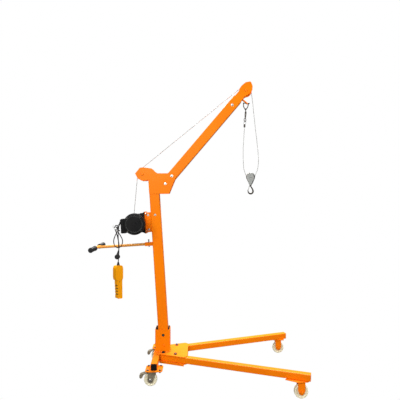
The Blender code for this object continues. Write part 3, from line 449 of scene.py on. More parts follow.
def smooth_route(route, spacing):
    """Points about the spacing apart on a smooth curve through the route's points."""
    route = [Vector(point) for point in route]
    padded = [2 * route[0] - route[1], *route, 2 * route[-1] - route[-2]]
    points = []
    for index in range(1, len(padded) - 2):
        before, start, end, after = padded[index - 1:index + 3]
        count = max(1, round((end - start).length / spacing))
        for step in range(count):
            t = step / count
            points.append(0.5 * (2 * start + (end - before) * t
                                 + (2 * before - 5 * start + 4 * end - after) * t * t
                                 + (3 * start - before - 3 * end + after) * t ** 3))
    points.append(route[-1])
    return points


def joined(*meshes):
    """Several meshes as one."""
    shape = bmesh.new()
    for mesh in meshes:
        shape.from_mesh(mesh)
    whole = bpy.data.meshes.new("joined")
    shape.to_mesh(whole)
    shape.free()
    return whole


def moved(mesh, place):
    mesh.transform(place)
    return mesh

# %% [markdown]
# ## Geometry Nodes for what repeats
# Bolts, ribs, rings, weld ripples and the strands of the wire rope all follow a rule, so each is a small
# node tree with named inputs. The helper below sets a tree's inputs by their identifiers, reads the result
# as a plain mesh and drops the modifier, so only the mesh goes on.

# %% Node tree helpers
def geometry_tree(name, inputs):
    """A tree with a geometry in and out and named inputs, and its input node."""
    tree = bpy.data.node_groups.new(name, "GeometryNodeTree")
    tree.interface.new_socket("Geometry", in_out="INPUT", socket_type="NodeSocketGeometry")
    for label, kind in inputs:
        tree.interface.new_socket(label, in_out="INPUT", socket_type="NodeSocket" + kind)
    tree.interface.new_socket("Material", in_out="INPUT", socket_type="NodeSocketMaterial")
    tree.interface.new_socket("Geometry", in_out="OUTPUT", socket_type="NodeSocketGeometry")
    return tree, tree.nodes.new("NodeGroupInput")


def close_tree(tree, given, geometry):
    """End a tree in Realize Instances and Set Material."""
    real = node(tree, "GeometryNodeRealizeInstances", {"Geometry": geometry})
    dressed = node(tree, "GeometryNodeSetMaterial", {"Geometry": real.outputs[0],
                                                     "Material": given.outputs["Material"]})
    out = tree.nodes.new("NodeGroupOutput")
    tree.links.new(dressed.outputs["Geometry"], out.inputs["Geometry"])
    return tree


def sum_of(tree, *values):
    total = values[0]
    for value in values[1:]:
        total = node(tree, "ShaderNodeMath", {0: total, 1: value}, operation="ADD").outputs["Value"]
    return total


def product(tree, first, second):
    return node(tree, "ShaderNodeMath", {0: first, 1: second}, operation="MULTIPLY").outputs["Value"]


def upward(tree, height):
    return node(tree, "ShaderNodeCombineXYZ", {"Z": height}).outputs["Vector"]


def grown(source, tree, **values):
    """Run a tree on a curve or mesh and return the plain mesh that it makes."""
    holder = bpy.data.objects.new("grown", source)
    bpy.context.scene.collection.objects.link(holder)
    modifier = holder.modifiers.new("tree", "NODES")
    modifier.node_group = tree
    for item in tree.interface.items_tree:
        label = item.name.replace(" ", "_").lower()
        if item.in_out == "INPUT" and label in values:
            modifier[item.identifier] = values[label]
    mesh = evaluated_mesh(holder)
    return mesh


# %% [markdown]
# ## Bolts
# Every bolt seat is a point that knows which way the bolt leaves the surface. The tree stands a washer, a
# hexagon head or nut and the end of its thread on each point, each turned by its own random angle, because
# nobody lines up the flats of real bolts.

# %% Bolt tree
def bolt_tree():
    sizes = ("Head Radius", "Head Height", "Washer Radius", "Washer Height", "Thread Radius",
             "Thread Height")
    tree, given = geometry_tree("bolts", [(label, "Float") for label in sizes])
    size = given.outputs
    stack = []
    floor = 0.0
    for sides, kind in ((24, "Washer"), (6, "Head"), (14, "Thread")):
        height = size[kind + " Height"]
        disc = node(tree, "GeometryNodeMeshCylinder", {"Vertices": sides, "Radius": size[kind + " Radius"],
                                                       "Depth": height})
        middle = sum_of(tree, product(tree, height, 0.5), floor)
        lifted = node(tree, "GeometryNodeTransform", {"Geometry": disc.outputs["Mesh"],
                                                      "Translation": upward(tree, middle)})
        stack.append(lifted.outputs["Geometry"])
        floor = sum_of(tree, height, floor)
    crown = node(tree, "GeometryNodeMeshCone", {"Vertices": 20, "Depth": 0.0008,
                                                "Radius Top": product(tree, size["Head Radius"], 0.70),
                                                "Radius Bottom": product(tree, size["Head Radius"], 0.84)})
    crown_height = sum_of(tree, size["Washer Height"], size["Head Height"])
    stack.append(node(tree, "GeometryNodeTransform", {"Geometry": crown.outputs["Mesh"],
                                                      "Translation": upward(tree, crown_height)}).outputs[0])
    bolt = node(tree, "GeometryNodeJoinGeometry")
    for geometry in stack:
        tree.links.new(geometry, bolt.inputs["Geometry"])
    aim = node(tree, "GeometryNodeInputNamedAttribute", {"Name": "aim"}, data_type="FLOAT_VECTOR")
    facing = node(tree, "FunctionNodeAlignRotationToVector", {"Vector": aim.outputs["Attribute"]}, axis="Z")
    angle = node(tree, "FunctionNodeRandomValue", {"Seed": 3}, data_type="FLOAT")
    turn = node(tree, "FunctionNodeEulerToRotation",
                {"Euler": upward(tree, product(tree, angle.outputs[1], 1.047))})
    spun = node(tree, "FunctionNodeRotateRotation", {"Rotation": facing.outputs["Rotation"],
                                                     "Rotate By": turn.outputs["Rotation"]},
                rotation_space="LOCAL")
    stood = node(tree, "GeometryNodeInstanceOnPoints", {"Points": given.outputs["Geometry"],
                                                        "Instance": bolt.outputs["Geometry"],
                                                        "Rotation": spun.outputs["Rotation"]})
    return close_tree(tree, given, stood.outputs["Instances"])


BOLTS = bolt_tree()


def bolts(seats, head, thread=0.004, material=ZINC, washer=True):
    """Bolt heads of a given radius on seats, a list of (place, aim)."""
    mesh = bpy.data.meshes.new("seats")
    mesh.from_pydata([place for place, _ in seats], [], [])
    aims = mesh.attributes.new("aim", "FLOAT_VECTOR", "POINT")
    for index, (_, aim) in enumerate(seats):
        aims.data[index].vector = aim
    washer_radius = head * (1.28 if washer else 0.9)
    return grown(mesh, BOLTS, head_radius=head, head_height=0.62 * head, washer_radius=washer_radius,
                 washer_height=0.14 * head, thread_radius=0.52 * head, thread_height=thread,
                 material=material)


# %% [markdown]
# ## Ribs, rings and weld beads
# A rib tree stands bars on a circle, for the wheel's web and the motor's fins. A ring tree stacks rings
# along an axis, each a little smaller than the last, for the grips and the cable boots. The weld tree
# sweeps a bead whose radius swells and shrinks along it, as a hand-laid weld does.

# %% Rib, ring and weld trees
def rib_tree():
    tree, given = geometry_tree("ribs_on_a_circle", [("Count", "Int"), ("Radius", "Float"),
                                                     ("Rib Size", "Vector")])
    spots = node(tree, "GeometryNodeMeshCircle", {"Vertices": given.outputs["Count"],
                                                  "Radius": given.outputs["Radius"]})
    rib = node(tree, "GeometryNodeMeshCube", {"Size": given.outputs["Rib Size"]})
    place = node(tree, "GeometryNodeInputPosition").outputs["Position"]
    facing = node(tree, "FunctionNodeAlignRotationToVector", {"Vector": place}, axis="X", pivot_axis="Z")
    stood = node(tree, "GeometryNodeInstanceOnPoints", {"Points": spots.outputs["Mesh"],
                                                        "Instance": rib.outputs["Mesh"],
                                                        "Rotation": facing.outputs["Rotation"]})
    return close_tree(tree, given, stood.outputs["Instances"])


def ring_tree():
    tree, given = geometry_tree("stacked_rings", [("Count", "Int"), ("Pitch", "Float"),
                                                  ("Ring Radius", "Float"), ("Bead Radius", "Float"),
                                                  ("Shrink", "Float")])
    line = node(tree, "GeometryNodeMeshLine", {"Count": given.outputs["Count"],
                                               "Offset": upward(tree, given.outputs["Pitch"])}, mode="OFFSET")
    path = node(tree, "GeometryNodeCurvePrimitiveCircle", {"Resolution": 36,
                                                           "Radius": given.outputs["Ring Radius"]})
    bead = node(tree, "GeometryNodeCurvePrimitiveCircle", {"Resolution": 8,
                                                           "Radius": given.outputs["Bead Radius"]})
    ring = node(tree, "GeometryNodeCurveToMesh", {"Curve": path.outputs["Curve"],
                                                  "Profile Curve": bead.outputs["Curve"]})
    order = node(tree, "GeometryNodeInputIndex").outputs["Index"]
    lost = product(tree, product(tree, order, given.outputs["Shrink"]), -1.0)
    stood = node(tree, "GeometryNodeInstanceOnPoints", {"Points": line.outputs["Mesh"],
                                                        "Instance": ring.outputs["Mesh"],
                                                        "Scale": sum_of(tree, lost, 1.0)})
    return close_tree(tree, given, stood.outputs["Instances"])


def weld_tree():
    tree, given = geometry_tree("weld_bead", [("Bead Radius", "Float"), ("Ripple", "Float")])
    fine = node(tree, "GeometryNodeResampleCurve", {"Curve": given.outputs["Geometry"],
                                                    "Length": product(tree, given.outputs["Ripple"], 0.25)},
                mode="LENGTH")
    along = node(tree, "GeometryNodeSplineParameter").outputs["Length"]
    phase = node(tree, "ShaderNodeMath", {0: along, 1: given.outputs["Ripple"]}, operation="DIVIDE")
    wave = node(tree, "ShaderNodeMath", {0: product(tree, phase.outputs["Value"], 2 * math.pi)},
                operation="SINE")
    swell = sum_of(tree, product(tree, wave.outputs["Value"], 0.16), 0.84)
    shaped = node(tree, "GeometryNodeSetCurveRadius", {"Curve": fine.outputs["Curve"], "Radius": swell})
    round_bead = node(tree, "GeometryNodeCurvePrimitiveCircle", {"Resolution": 8,
                                                                 "Radius": given.outputs["Bead Radius"]})
    bead = node(tree, "GeometryNodeCurveToMesh", {"Curve": shaped.outputs["Curve"],
                                                  "Profile Curve": round_bead.outputs["Curve"],
                                                  "Fill Caps": True})
    return close_tree(tree, given, bead.outputs["Mesh"])


RIBS = rib_tree()
RINGS = ring_tree()
WELD = weld_tree()


def ribs(count, radius, size, material):
    return grown(bpy.data.meshes.new("ribs"), RIBS, count=count, radius=radius, rib_size=size,
                 material=material)


def rings(count, pitch, radius, bead, shrink=0.0, material=RUBBER):
    return grown(bpy.data.meshes.new("rings"), RINGS, count=count, pitch=pitch, ring_radius=radius,
                 bead_radius=bead, shrink=shrink, material=material)


def weld_bead(points, radius=0.0026, cyclic=False):
    return grown(poly_curve("weld", points, cyclic), WELD, bead_radius=radius, ripple=0.0035,
                 material=ORANGE)


# %% [markdown]
# ## Wire rope
# A wire rope is strands laid round each other in a helix. The tree copies the rope's centre line once for
# each strand, pushes each copy sideways by the lay radius, and turns that push with the length along the
# rope. The lay is about six rope diameters, as on a real hoist rope.

# %% Rope tree
def rope_tree():
    tree, given = geometry_tree("laid_rope", [("Strands", "Int"), ("Rope Radius", "Float"),
                                              ("Lay Length", "Float")])
    step = product(tree, given.outputs["Lay Length"], 0.1)
    fine = node(tree, "GeometryNodeResampleCurve", {"Curve": given.outputs["Geometry"], "Length": step},
                mode="LENGTH")
    copies = node(tree, "GeometryNodeDuplicateElements", {"Geometry": fine.outputs["Curve"],
                                                          "Amount": given.outputs["Strands"]},
                  domain="SPLINE")
    along = node(tree, "GeometryNodeSplineParameter").outputs["Length"]
    turns = node(tree, "ShaderNodeMath", {0: along, 1: given.outputs["Lay Length"]}, operation="DIVIDE")
    share = node(tree, "ShaderNodeMath", {0: copies.outputs["Duplicate Index"],
                                          1: given.outputs["Strands"]}, operation="DIVIDE")
    angle = product(tree, sum_of(tree, turns.outputs["Value"], share.outputs["Value"]), 2 * math.pi)
    normal = node(tree, "GeometryNodeInputNormal").outputs["Normal"]
    tangent = node(tree, "GeometryNodeInputTangent").outputs["Tangent"]
    side = node(tree, "ShaderNodeVectorMath", {0: tangent, 1: normal}, operation="CROSS_PRODUCT")
    lay_radius = product(tree, given.outputs["Rope Radius"], 0.64)
    pushes = []
    for direction, wave in ((normal, "COSINE"), (side.outputs["Vector"], "SINE")):
        reach = product(tree, node(tree, "ShaderNodeMath", {0: angle}, operation=wave).outputs[0],
                        lay_radius)
        push = node(tree, "ShaderNodeVectorMath", {0: direction, "Scale": reach}, operation="SCALE")
        pushes.append(push.outputs["Vector"])
    offset = node(tree, "ShaderNodeVectorMath", {0: pushes[0], 1: pushes[1]}, operation="ADD")
    laid = node(tree, "GeometryNodeSetPosition", {"Geometry": copies.outputs["Geometry"],
                                                  "Offset": offset.outputs["Vector"]})
    strand = node(tree, "GeometryNodeCurvePrimitiveCircle", {
        "Resolution": 5, "Radius": product(tree, given.outputs["Rope Radius"], 0.37)})
    solid = node(tree, "GeometryNodeCurveToMesh", {"Curve": laid.outputs["Geometry"],
                                                   "Profile Curve": strand.outputs["Curve"],
                                                   "Fill Caps": True})
    return close_tree(tree, given, solid.outputs["Mesh"])


ROPE = rope_tree()
ROPE_R = 0.0024
ROPE_LAY = 0.024


def laid_rope(points):
    print("a rope run is", round(sum((b - a).length for a, b in zip(points, points[1:])), 3), "m long")
    return grown(poly_curve("rope", points), ROPE, strands=6, rope_radius=ROPE_R, lay_length=ROPE_LAY,
                 material=WIRE)

# %% [markdown]
# ## The two cables
# Both cables leave the junction box behind the hoist. The pendant's cable hangs straight down to the top of
# the pendant. The supply lead is short: it makes one teardrop loop that is tied up at its neck, and its
# plug hangs below. Each route is a listed set of points with one smooth curve through them.

# %% Cable routes
CORD_R = 0.0036
CORD_POINT_GAP = 0.006
MAST_FOOT = Vector((-0.2581, 0.0, 0.195))
MAST_LEAN = math.radians(3.7)
IN_MAST = at(*MAST_FOOT) @ Matrix.Rotation(-MAST_LEAN, 4, "Y")
GLAND_TURN = Matrix.Rotation(math.radians(-140), 4, "Y")
GLAND_SEAT = IN_MAST @ Vector((-0.262, 0.0, 1.073))
GLAND_REACH = 0.0203
MAINS_Y = -0.140
PENDANT_CABLE_Y = -0.105
PENDANT_X, PENDANT_Y = -0.617, -0.120
PLUG = Vector((-0.6150, -0.1660, 0.9750))
PLUG_TILT = math.radians(11)
PLUG_BOOT = 0.048


def gland_exit(y):
    out = GLAND_TURN @ Vector((0, 0, GLAND_REACH))
    return Vector((GLAND_SEAT.x + out.x, y, GLAND_SEAT.z + out.z))


def plug_axis_point(reach):
    return PLUG + Vector((reach * math.sin(PLUG_TILT), 0, reach * math.cos(PLUG_TILT)))


pendant_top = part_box("pendant_case")[1][2]
pendant_route = [gland_exit(PENDANT_CABLE_Y), (-0.6085, -0.1055, 1.2240), (-0.6160, -0.108, 1.2000),
                 (-0.6190, -0.112, 1.1650), (-0.6180, -0.116, 1.1200), (-0.6145, -0.119, 1.0700),
                 (-0.6120, -0.120, 1.0200), (-0.6135, -0.120, 0.9700),
                 (PENDANT_X, PENDANT_Y, pendant_top + 0.0005)]
mains_route = [gland_exit(MAINS_Y), (-0.6090, -0.1405, 1.2245), (-0.6180, -0.1410, 1.2010),
               (-0.6130, -0.1420, 1.1700), (-0.5950, -0.1430, 1.1380), (-0.5790, -0.1440, 1.1050),
               (-0.5820, -0.1450, 1.0700), (-0.6000, -0.1465, 1.0480), (-0.6230, -0.1480, 1.0460),
               (-0.6420, -0.1495, 1.0670), (-0.6460, -0.1505, 1.1020), (-0.6350, -0.1515, 1.1380),
               (-0.6190, -0.1525, 1.1680), (-0.6060, -0.1540, 1.1930), (-0.6100, -0.1560, 1.2160),
               (-0.6270, -0.1590, 1.2200), (-0.6360, -0.1620, 1.2030), (-0.6290, -0.1640, 1.1790),
               (-0.6180, -0.1650, 1.1500), (-0.6090, -0.1655, 1.1100), (-0.6020, -0.1660, 1.0750),
               plug_axis_point(PLUG_BOOT + 0.020), plug_axis_point(PLUG_BOOT + 0.0006)]


def cable(name, route):
    """A cable as a curve of one spline, and its length."""
    points = smooth_route(route, CORD_POINT_GAP)
    curve = poly_curve(name, points)
    curve.bevel_depth = CORD_R
    curve.bevel_resolution = 4
    curve.use_fill_caps = True
    curve.materials.append(RUBBER)
    made = bpy.data.objects.new(name, curve)
    bpy.context.scene.collection.objects.link(made)
    length = sum((b - a).length for a, b in zip(points, points[1:]))
    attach(made, "frame")
    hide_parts(name)
    print(name, "is", round(length, 3), "m long")
    return made, length


pendant_cable, pendant_cable_length = cable("pendant_cable", pendant_route)
mains_lead, mains_lead_length = cable("mains_lead", mains_route)
pendant_cable.name = "pendant_flex"
mains_lead.name = "mains_flex"

# %% [markdown]
# ## The plug
# A round angled plug: a flattened drum with a soft rim, two round pins at the back, and a ribbed boot that
# tapers towards the lead. The ribs let the boot bend without kinking the lead.

# %% Plug
def plug_mesh():
    disc = [(0, 0.013), (0.0150, 0.013), (0.0180, 0.0125), (0.0198, 0.0100), (0.0200, 0.0060),
            (0.0200, -0.0060), (0.0185, -0.0100), (0.0155, -0.0128), (0, -0.013)]
    body = moved(turned(disc, 40), at(*PLUG) @ ALONG_Y)
    boot = [(0, PLUG_BOOT), (0.0046, PLUG_BOOT), (0.0052, 0.046), (0.0088, 0.022), (0.0100, 0.012),
            (0, 0.008)]
    tilt = at(*PLUG) @ Matrix.Rotation(PLUG_TILT, 4, "Y")
    sleeve = moved(turned(boot, 28), tilt)
    grooves = moved(rings(6, 0.0040, 0.0084, 0.0011, 0.075), tilt @ at(0, 0, 0.022))
    meshes = [body, sleeve, grooves]
    for side in (-1, 1):
        pin = turned([(0, 0.010), (0.0018, 0.0098), (0.0024, 0.0085), (0.0024, -0.0095), (0, -0.0095)], 16)
        meshes.append(moved(pin, at(PLUG.x + side * 0.0095, PLUG.y + 0.0215, PLUG.z) @ ALONG_Y))
    rim = moved(rings(1, 0.001, 0.0188, 0.0009), at(*PLUG) @ ALONG_Y @ at(0, 0, -0.0085))
    return joined(*meshes, rim)


plug = piece("round_plug", plug_mesh(), RUBBER, "frame", stands_for=["mains_plug"])

# %% [markdown]
# ## The tie at the loop's neck
# Two crossing turns of the lead close its loop, and a few turns of thin wire hold it to the pendant's
# cable, with loose ends that stick out. A helix is a loop over angles, swept as one thin bar.

# %% Loop tie
TIE_AT = Vector((-0.6175, -0.1300, 1.1760))


def knot_mesh():
    """Two crossing turns of the lead's own size that hold the loop closed."""
    meshes = []
    for tilt, lift in ((28, 0.004), (-30, -0.004)):
        ring = []
        for i in range(28):
            a = 2 * math.pi * i / 28
            ring.append(Vector((0.0105 * math.cos(a), 0.0270 * math.sin(a), 0)))
        place = at(TIE_AT.x, -0.1430, TIE_AT.z + 0.022 + lift) @ Matrix.Rotation(math.radians(tilt), 4, "Y")
        meshes.append(moved(swept(ring, 0.0032, 4, True), place))
    return joined(*meshes)


def tie_mesh():
    """A thin wire wound three times round the neck, with its twisted ends sticking out."""
    turns = 3
    steps = 24
    around = []
    for i in range(turns * steps + 1):
        a = 2 * math.pi * i / steps
        around.append(TIE_AT + Vector((0.0130 * math.cos(a), 0.0440 * math.sin(a),
                                       0.0030 * i / steps - 0.0045)))
    tails = [((-0.0130, -0.044, 0.012), (-0.0210, -0.046, 0.030), (-0.0260, -0.046, 0.052)),
             ((-0.0100, -0.045, 0.020), (-0.0240, -0.047, 0.024), (-0.0330, -0.047, 0.042)),
             ((0.0120, -0.044, 0.012), (0.0190, -0.046, 0.030), (0.0150, -0.046, 0.048))]
    wires = [swept(smooth_route([TIE_AT + Vector(p) for p in tail], 0.004), 0.0014, 3) for tail in tails]
    return joined(swept(around, 0.0012, 3), *wires)


piece("lead_knot", knot_mesh(), RUBBER, "frame")
piece("loop_tie", tie_mesh(), TIE, "frame")

# %% [markdown]
# ## Wheels
# A cast nylon wheel has a slightly crowned tread, a lip, a thin web stiffened by ribs, and a hub with a
# pressed-in bearing. The profile is turned; the ribs pass through the web, so one set shows on both sides.

# %% Wheels
def wheel_profile():
    half = [(0.0063, 0.0185), (0.0150, 0.0185), (0.0168, 0.0172), (0.0176, 0.0138), (0.0200, 0.0128),
            (0.0366, 0.0128), (0.0390, 0.0138), (0.0402, 0.0160), (0.0414, 0.0165), (0.0464, 0.0165),
            (0.0484, 0.0153), (0.0495, 0.0120), (0.0499, 0.0060)]
    return half + [(0.0500, 0.0)] + [(radius, -height) for radius, height in reversed(half)]


def box_centre(node_name):
    low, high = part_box(node_name)
    return (Vector(low) + Vector(high)) / 2


def bearing_mesh():
    race = [(0.0064, 0.0189), (0.0090, 0.0189), (0.0092, 0.0180), (0.0108, 0.0180), (0.0110, 0.0189),
            (0.0130, 0.0189), (0.0132, 0.0150), (0.0064, 0.0150)]
    far = turned(race, 32, closed=True)
    near = turned([(radius, -height) for radius, height in reversed(race)], 32, closed=True)
    return joined(far, near)


for wheel_name in ("front_wheel_near", "front_wheel_far", "rear_wheel_near", "rear_wheel_far"):
    place = at(*box_centre(wheel_name)) @ ALONG_Y
    wheel = joined(turned(wheel_profile(), 64, closed=True), ribs(6, 0.0284, (0.0220, 0.0030, 0.0276), NYLON))
    piece(wheel_name + "_nylon", wheel, NYLON, wheel_name, place, [wheel_name])
    piece(wheel_name + "_bearing", bearing_mesh(), ZINC, wheel_name, place)

# %% [markdown]
# ## Fasteners of the frame
# Cross bolts run through the mast, its socket, the head plates and the boom tip: a head on the near side, a
# nut with the end of the thread on the far side, and the shank between. The legs turn on the two front
# bolts of the base plate. The bolt behind each one, which would lock the leg open, has no shank here, so
# that the leg can fold past it.

# %% Bolt places
BOOM_FOOT = Vector((-0.197, 0.0, 1.616))
BOOM_ANGLE = math.radians(49.6)
IN_BOOM = at(*BOOM_FOOT) @ Matrix.Rotation(-BOOM_ANGLE, 4, "Y")
HOIST_AXIS = Vector((-0.1535, 0.0, 1.049))
deck_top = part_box("base_top_plate")[1][2]
deck_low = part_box("base_bottom_plate")[0][2]
plate_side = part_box("head_plate_far")[1][1]
boom_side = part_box("boom")[1][1]
tip_side = 0.0330
socket_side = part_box("mast_socket")[1][1]
mast_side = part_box("mast")[1][1]
UP = (0, 0, 1)
DOWN = (0, 0, -1)


def rod(radius, length, steps=20):
    return turned([(0, length / 2), (radius, length / 2), (radius, -length / 2), (0, -length / 2)], steps)


def cross_bolts(places, side, head, shank):
    """Bolts along Y through the crane at (x, z) places, head near and nut far."""
    meshes = []
    for x, z in places:
        meshes.append(bolts([((x, -side, z), (0, -1, 0))], head, 0.0005))
        meshes.append(bolts([((x, side, z), (0, 1, 0))], head, 0.0045))
        meshes.append(moved(rod(shank, 2 * side), at(x, 0, z) @ ALONG_Y))
    return meshes


def xz(point):
    return point.x, point.z


UPPER_SOCKET_BOLT_Z = 0.320
LOWER_SOCKET_BOLT_Z = 0.240


def socket_seat(z):
    return MAST_FOOT.x - (z - MAST_FOOT.z) * math.tan(MAST_LEAN), z


def plated_bolt_mesh():
    boom_bolts = [xz(IN_BOOM @ Vector((along, 0, 0))) for along in (-0.083, 0.0)]
    tip_bolt = xz(IN_BOOM @ Vector((0.761, 0, 0)))
    bracket_bolts = [xz(IN_MAST @ Vector((-0.061, 0, HOIST_AXIS.z + rise))) for rise in (0.060, -0.060)]
    mast_bolt = xz(IN_MAST @ Vector((-0.004, 0, HOIST_AXIS.z + 0.058)))
    meshes = cross_bolts(boom_bolts, plate_side, 0.0085, 0.006)
    meshes += cross_bolts([tip_bolt], boom_side, 0.0090, 0.006)
    meshes += cross_bolts(bracket_bolts, mast_side, 0.0070, 0.005)
    meshes += cross_bolts([mast_bolt], mast_side, 0.0070, 0.005)
    return joined(*meshes)


def painted_bolt_mesh():
    """The lower socket bolt and the two sheave axles, painted with the frame."""
    meshes = cross_bolts([socket_seat(LOWER_SOCKET_BOLT_Z)], socket_side, 0.0085, 0.006)
    meshes += cross_bolts([xz(Vector(frame_joint("rear_sheave_spin")))], plate_side, 0.0110, 0.008)
    meshes += cross_bolts([xz(Vector(frame_joint("tip_sheave_spin")))], tip_side, 0.0110, 0.008)
    return joined(*meshes)


def frame_joint(name):
    """A joint's place, as the record gives it."""
    return next(joint["pos_m"] for joint in frame["record"]["behaviour"]["joints"] if joint["name"] == name)


piece("plated_bolts", plated_bolt_mesh(), ZINC, "frame",
      stands_for=["boom_lower_bolt", "boom_upper_bolt", "boom_tip_bolt"])
piece("painted_bolts", painted_bolt_mesh(), ORANGE, "frame",
      stands_for=["rear_sheave_axle", "tip_sheave_axle"])

# %% Base bolts
def base_bolt_mesh():
    seats = []
    shanks = []
    for side in (-1, 1):
        pivot = frame_joint("leg_fold_near" if side < 0 else "leg_fold_far")
        for x, y in ((pivot[0], pivot[1]), (-0.262, side * 0.066)):
            seats += [((x, y, deck_top), UP), ((x, y, deck_low), DOWN)]
        middle = at(pivot[0], pivot[1], (deck_top + deck_low) / 2)
        shanks.append(moved(rod(0.008, deck_top - deck_low), middle))
    big = bolts(seats, 0.0118, 0.0035)
    pad_top = 0.1305
    plate_low = 0.1212
    beam = box_centre("rear_crossbeam")
    small_seats = []
    for side in (-1, 1):
        centre_y = box_centre("caster_plate_far").y * side
        for dx in (-0.047, 0.047):
            for dy in (-0.0405, 0.0405):
                small_seats += [((beam.x + dx, centre_y + dy, pad_top), UP),
                                ((beam.x + dx, centre_y + dy, plate_low), DOWN)]
    socket_bolts = cross_bolts([socket_seat(UPPER_SOCKET_BOLT_Z)], socket_side, 0.0085, 0.006)
    return joined(big, bolts(small_seats, 0.0078, 0.0025), *shanks, *socket_bolts)


piece("base_bolts", base_bolt_mesh(), STEEL, "frame",
      stands_for=["leg_pivot_bolt_near", "leg_pivot_bolt_far", "socket_bolt"])

# %% Axle nuts of the wheels
for side_name in ("near", "far"):
    front = box_centre("front_wheel_" + side_name)
    rear = box_centre("rear_wheel_" + side_name)
    front_nuts = bolts([((front.x, front.y + sign * 0.0245, front.z), (0, sign, 0)) for sign in (-1, 1)],
                       0.0118, 0.0030)
    rear_nuts = bolts([((rear.x, rear.y + sign * 0.0237, rear.z), (0, sign, 0)) for sign in (-1, 1)],
                      0.0107, 0.0030)
    piece("front_axle_nuts_" + side_name, front_nuts, ORANGE, "leg_" + side_name)
    piece("rear_axle_nuts_" + side_name, rear_nuts, ZINC, "caster_" + side_name)

# %% [markdown]
# ## Painted shade in the tube ends and the socket's mouth, end caps and welds of the frame
# Dark plates set a little way inside the crossbeam's open ends are painted shade, the dark inside of the
# tube, and plates close the legs' front ends. Black blocks in the socket's mouth on both sides of the
# leaning mast are painted shade too, the dark gaps between mast and socket. Weld beads run round the parts
# that are welded on, and the lower base plate has turned-down edges.

# %% Painted shade in the crossbeam's ends and the socket's mouth
def beam_end_shade():
    beam = box_centre("rear_crossbeam")
    low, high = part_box("rear_crossbeam")
    centre_z = deck_top - 0.0063 - 0.025
    meshes = []
    for end, side in ((low[1], 1), (high[1], -1)):
        shade_outline = outline(rounded_box(0.0432, 0.0432, 0.003), 0.006)
        meshes.append(moved(shade_outline, at(beam.x, end + side * 0.0170, centre_z) @ ALONG_Y))
    return joined(*meshes)


# Dark plates inside the crossbeam's open ends: painted shade.
piece("beam_end_plugs", beam_end_shade(), CASTING, "frame", round_edges=0.0008)


# Black blocks that fill the gaps between mast and socket: painted shade in those gaps.
def socket_wedges():
    low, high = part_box("mast_socket")
    top = high[2]
    mast_x = MAST_FOOT.x - (top - MAST_FOOT.z) * math.tan(MAST_LEAN)
    half = 0.0403
    spans = ((low[0] + 0.0043, mast_x - half), (mast_x + half, high[0] - 0.0043))
    meshes = []
    for start, end in spans:
        block = outline(rounded_box(end - start, 0.076, 0.002, 4), 0.030)
        meshes.append(moved(block, at((start + end) / 2, 0, top - 0.006)))
    return joined(*meshes)


piece("socket_wedges", socket_wedges(), CASTING, "frame", round_edges=0.0010)
LEG_SPREAD = math.radians(19.2)
for side_name, sign in (("near", -1), ("far", 1)):
    pivot = frame_joint("leg_fold_" + side_name)
    in_leg = at(*pivot) @ Matrix.Rotation(sign * LEG_SPREAD, 4, "Z")
    cap = moved(outline(rounded_box(0.0436, 0.0436, 0.002), 0.004), in_leg @ at(1.0445, 0, 0) @ ALONG_X)
    piece("leg_end_cap_" + side_name, cap, ORANGE, "leg_" + side_name, round_edges=0.0008)


# %% Weld beads
def square_loop(half_y, half_z, x):
    return [(x, y, z) for y, z in rounded_box(2 * half_y, 2 * half_z, 0.003, 4)]


def frame_welds():
    beads = []
    stub = [IN_MAST @ (Vector(p) + Vector((0, 0, 0.869))) for p in square_loop(0.0165, 0.0165, -0.0410)]
    beads.append(weld_bead(stub, 0.0024, cyclic=True))
    for side in (-1, 1):
        line = [IN_MAST @ Vector((-0.0408, side * 0.0415, HOIST_AXIS.z + rise))
                for rise in (-0.078, 0, 0.078)]
        beads.append(weld_bead(line, 0.0024))
    low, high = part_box("mast_socket")
    centre = box_centre("mast_socket")
    foot = [(centre.x + x, y, deck_top + 0.0012) for x, y in
            rounded_box(high[0] - low[0] + 0.003, high[1] - low[1] + 0.003, 0.006, 4)]
    beads.append(weld_bead(foot, 0.0030, cyclic=True))
    lug = [IN_BOOM @ Vector((x, y, -0.0345)) for x, y in ((0.8515, -0.012), (0.8515, 0.012))]
    beads.append(weld_bead(lug, 0.0022))
    return joined(*beads)


LIP_LENGTH = 0.210


def base_lip_mesh():
    """Turned-down edges that stiffen the base's lower plate, along its two slanted sides."""
    low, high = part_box("base_bottom_plate")
    front_corner = Vector((high[0] - 0.028, high[1] - 0.0035, low[2] - 0.0050))
    along = Vector((math.cos(LEG_SPREAD), math.sin(LEG_SPREAD), 0))
    middle = front_corner - along * LIP_LENGTH / 2
    lips = []
    for side in (-1, 1):
        lip = outline(rounded_box(LIP_LENGTH, 0.0060, 0.002, 4), 0.0120)
        turn = Matrix.Rotation(side * LEG_SPREAD, 4, "Z")
        lips.append(moved(lip, at(middle.x, side * middle.y, middle.z) @ turn))
    return joined(*lips)


piece("base_lips", base_lip_mesh(), ORANGE, "frame", round_edges=0.0008)
piece("frame_welds", frame_welds(), ORANGE, "frame")
for side_name, sign in (("near", -1), ("far", 1)):
    wheel_at = box_centre("front_wheel_" + side_name)
    beads = []
    for arm in (-0.0252, 0.0252):
        line = [(wheel_at.x + dx, wheel_at.y + arm, 0.1240) for dx in (-0.025, 0.0, 0.025)]
        beads.append(weld_bead(line, 0.0022))
    piece("fork_welds_" + side_name, joined(*beads), ORANGE, "leg_" + side_name)

# %% [markdown]
# ## Sheaves, shackle and swivel
# The sheaves are turned steel with a round groove, a dished web and a boss. The two on the crane are
# painted with it, and the hook block's is plated. The rope's dead end hangs from a shackle under the boom's
# tip: a swivel hangs in the shackle, and a pressed sleeve closes the rope's eye.

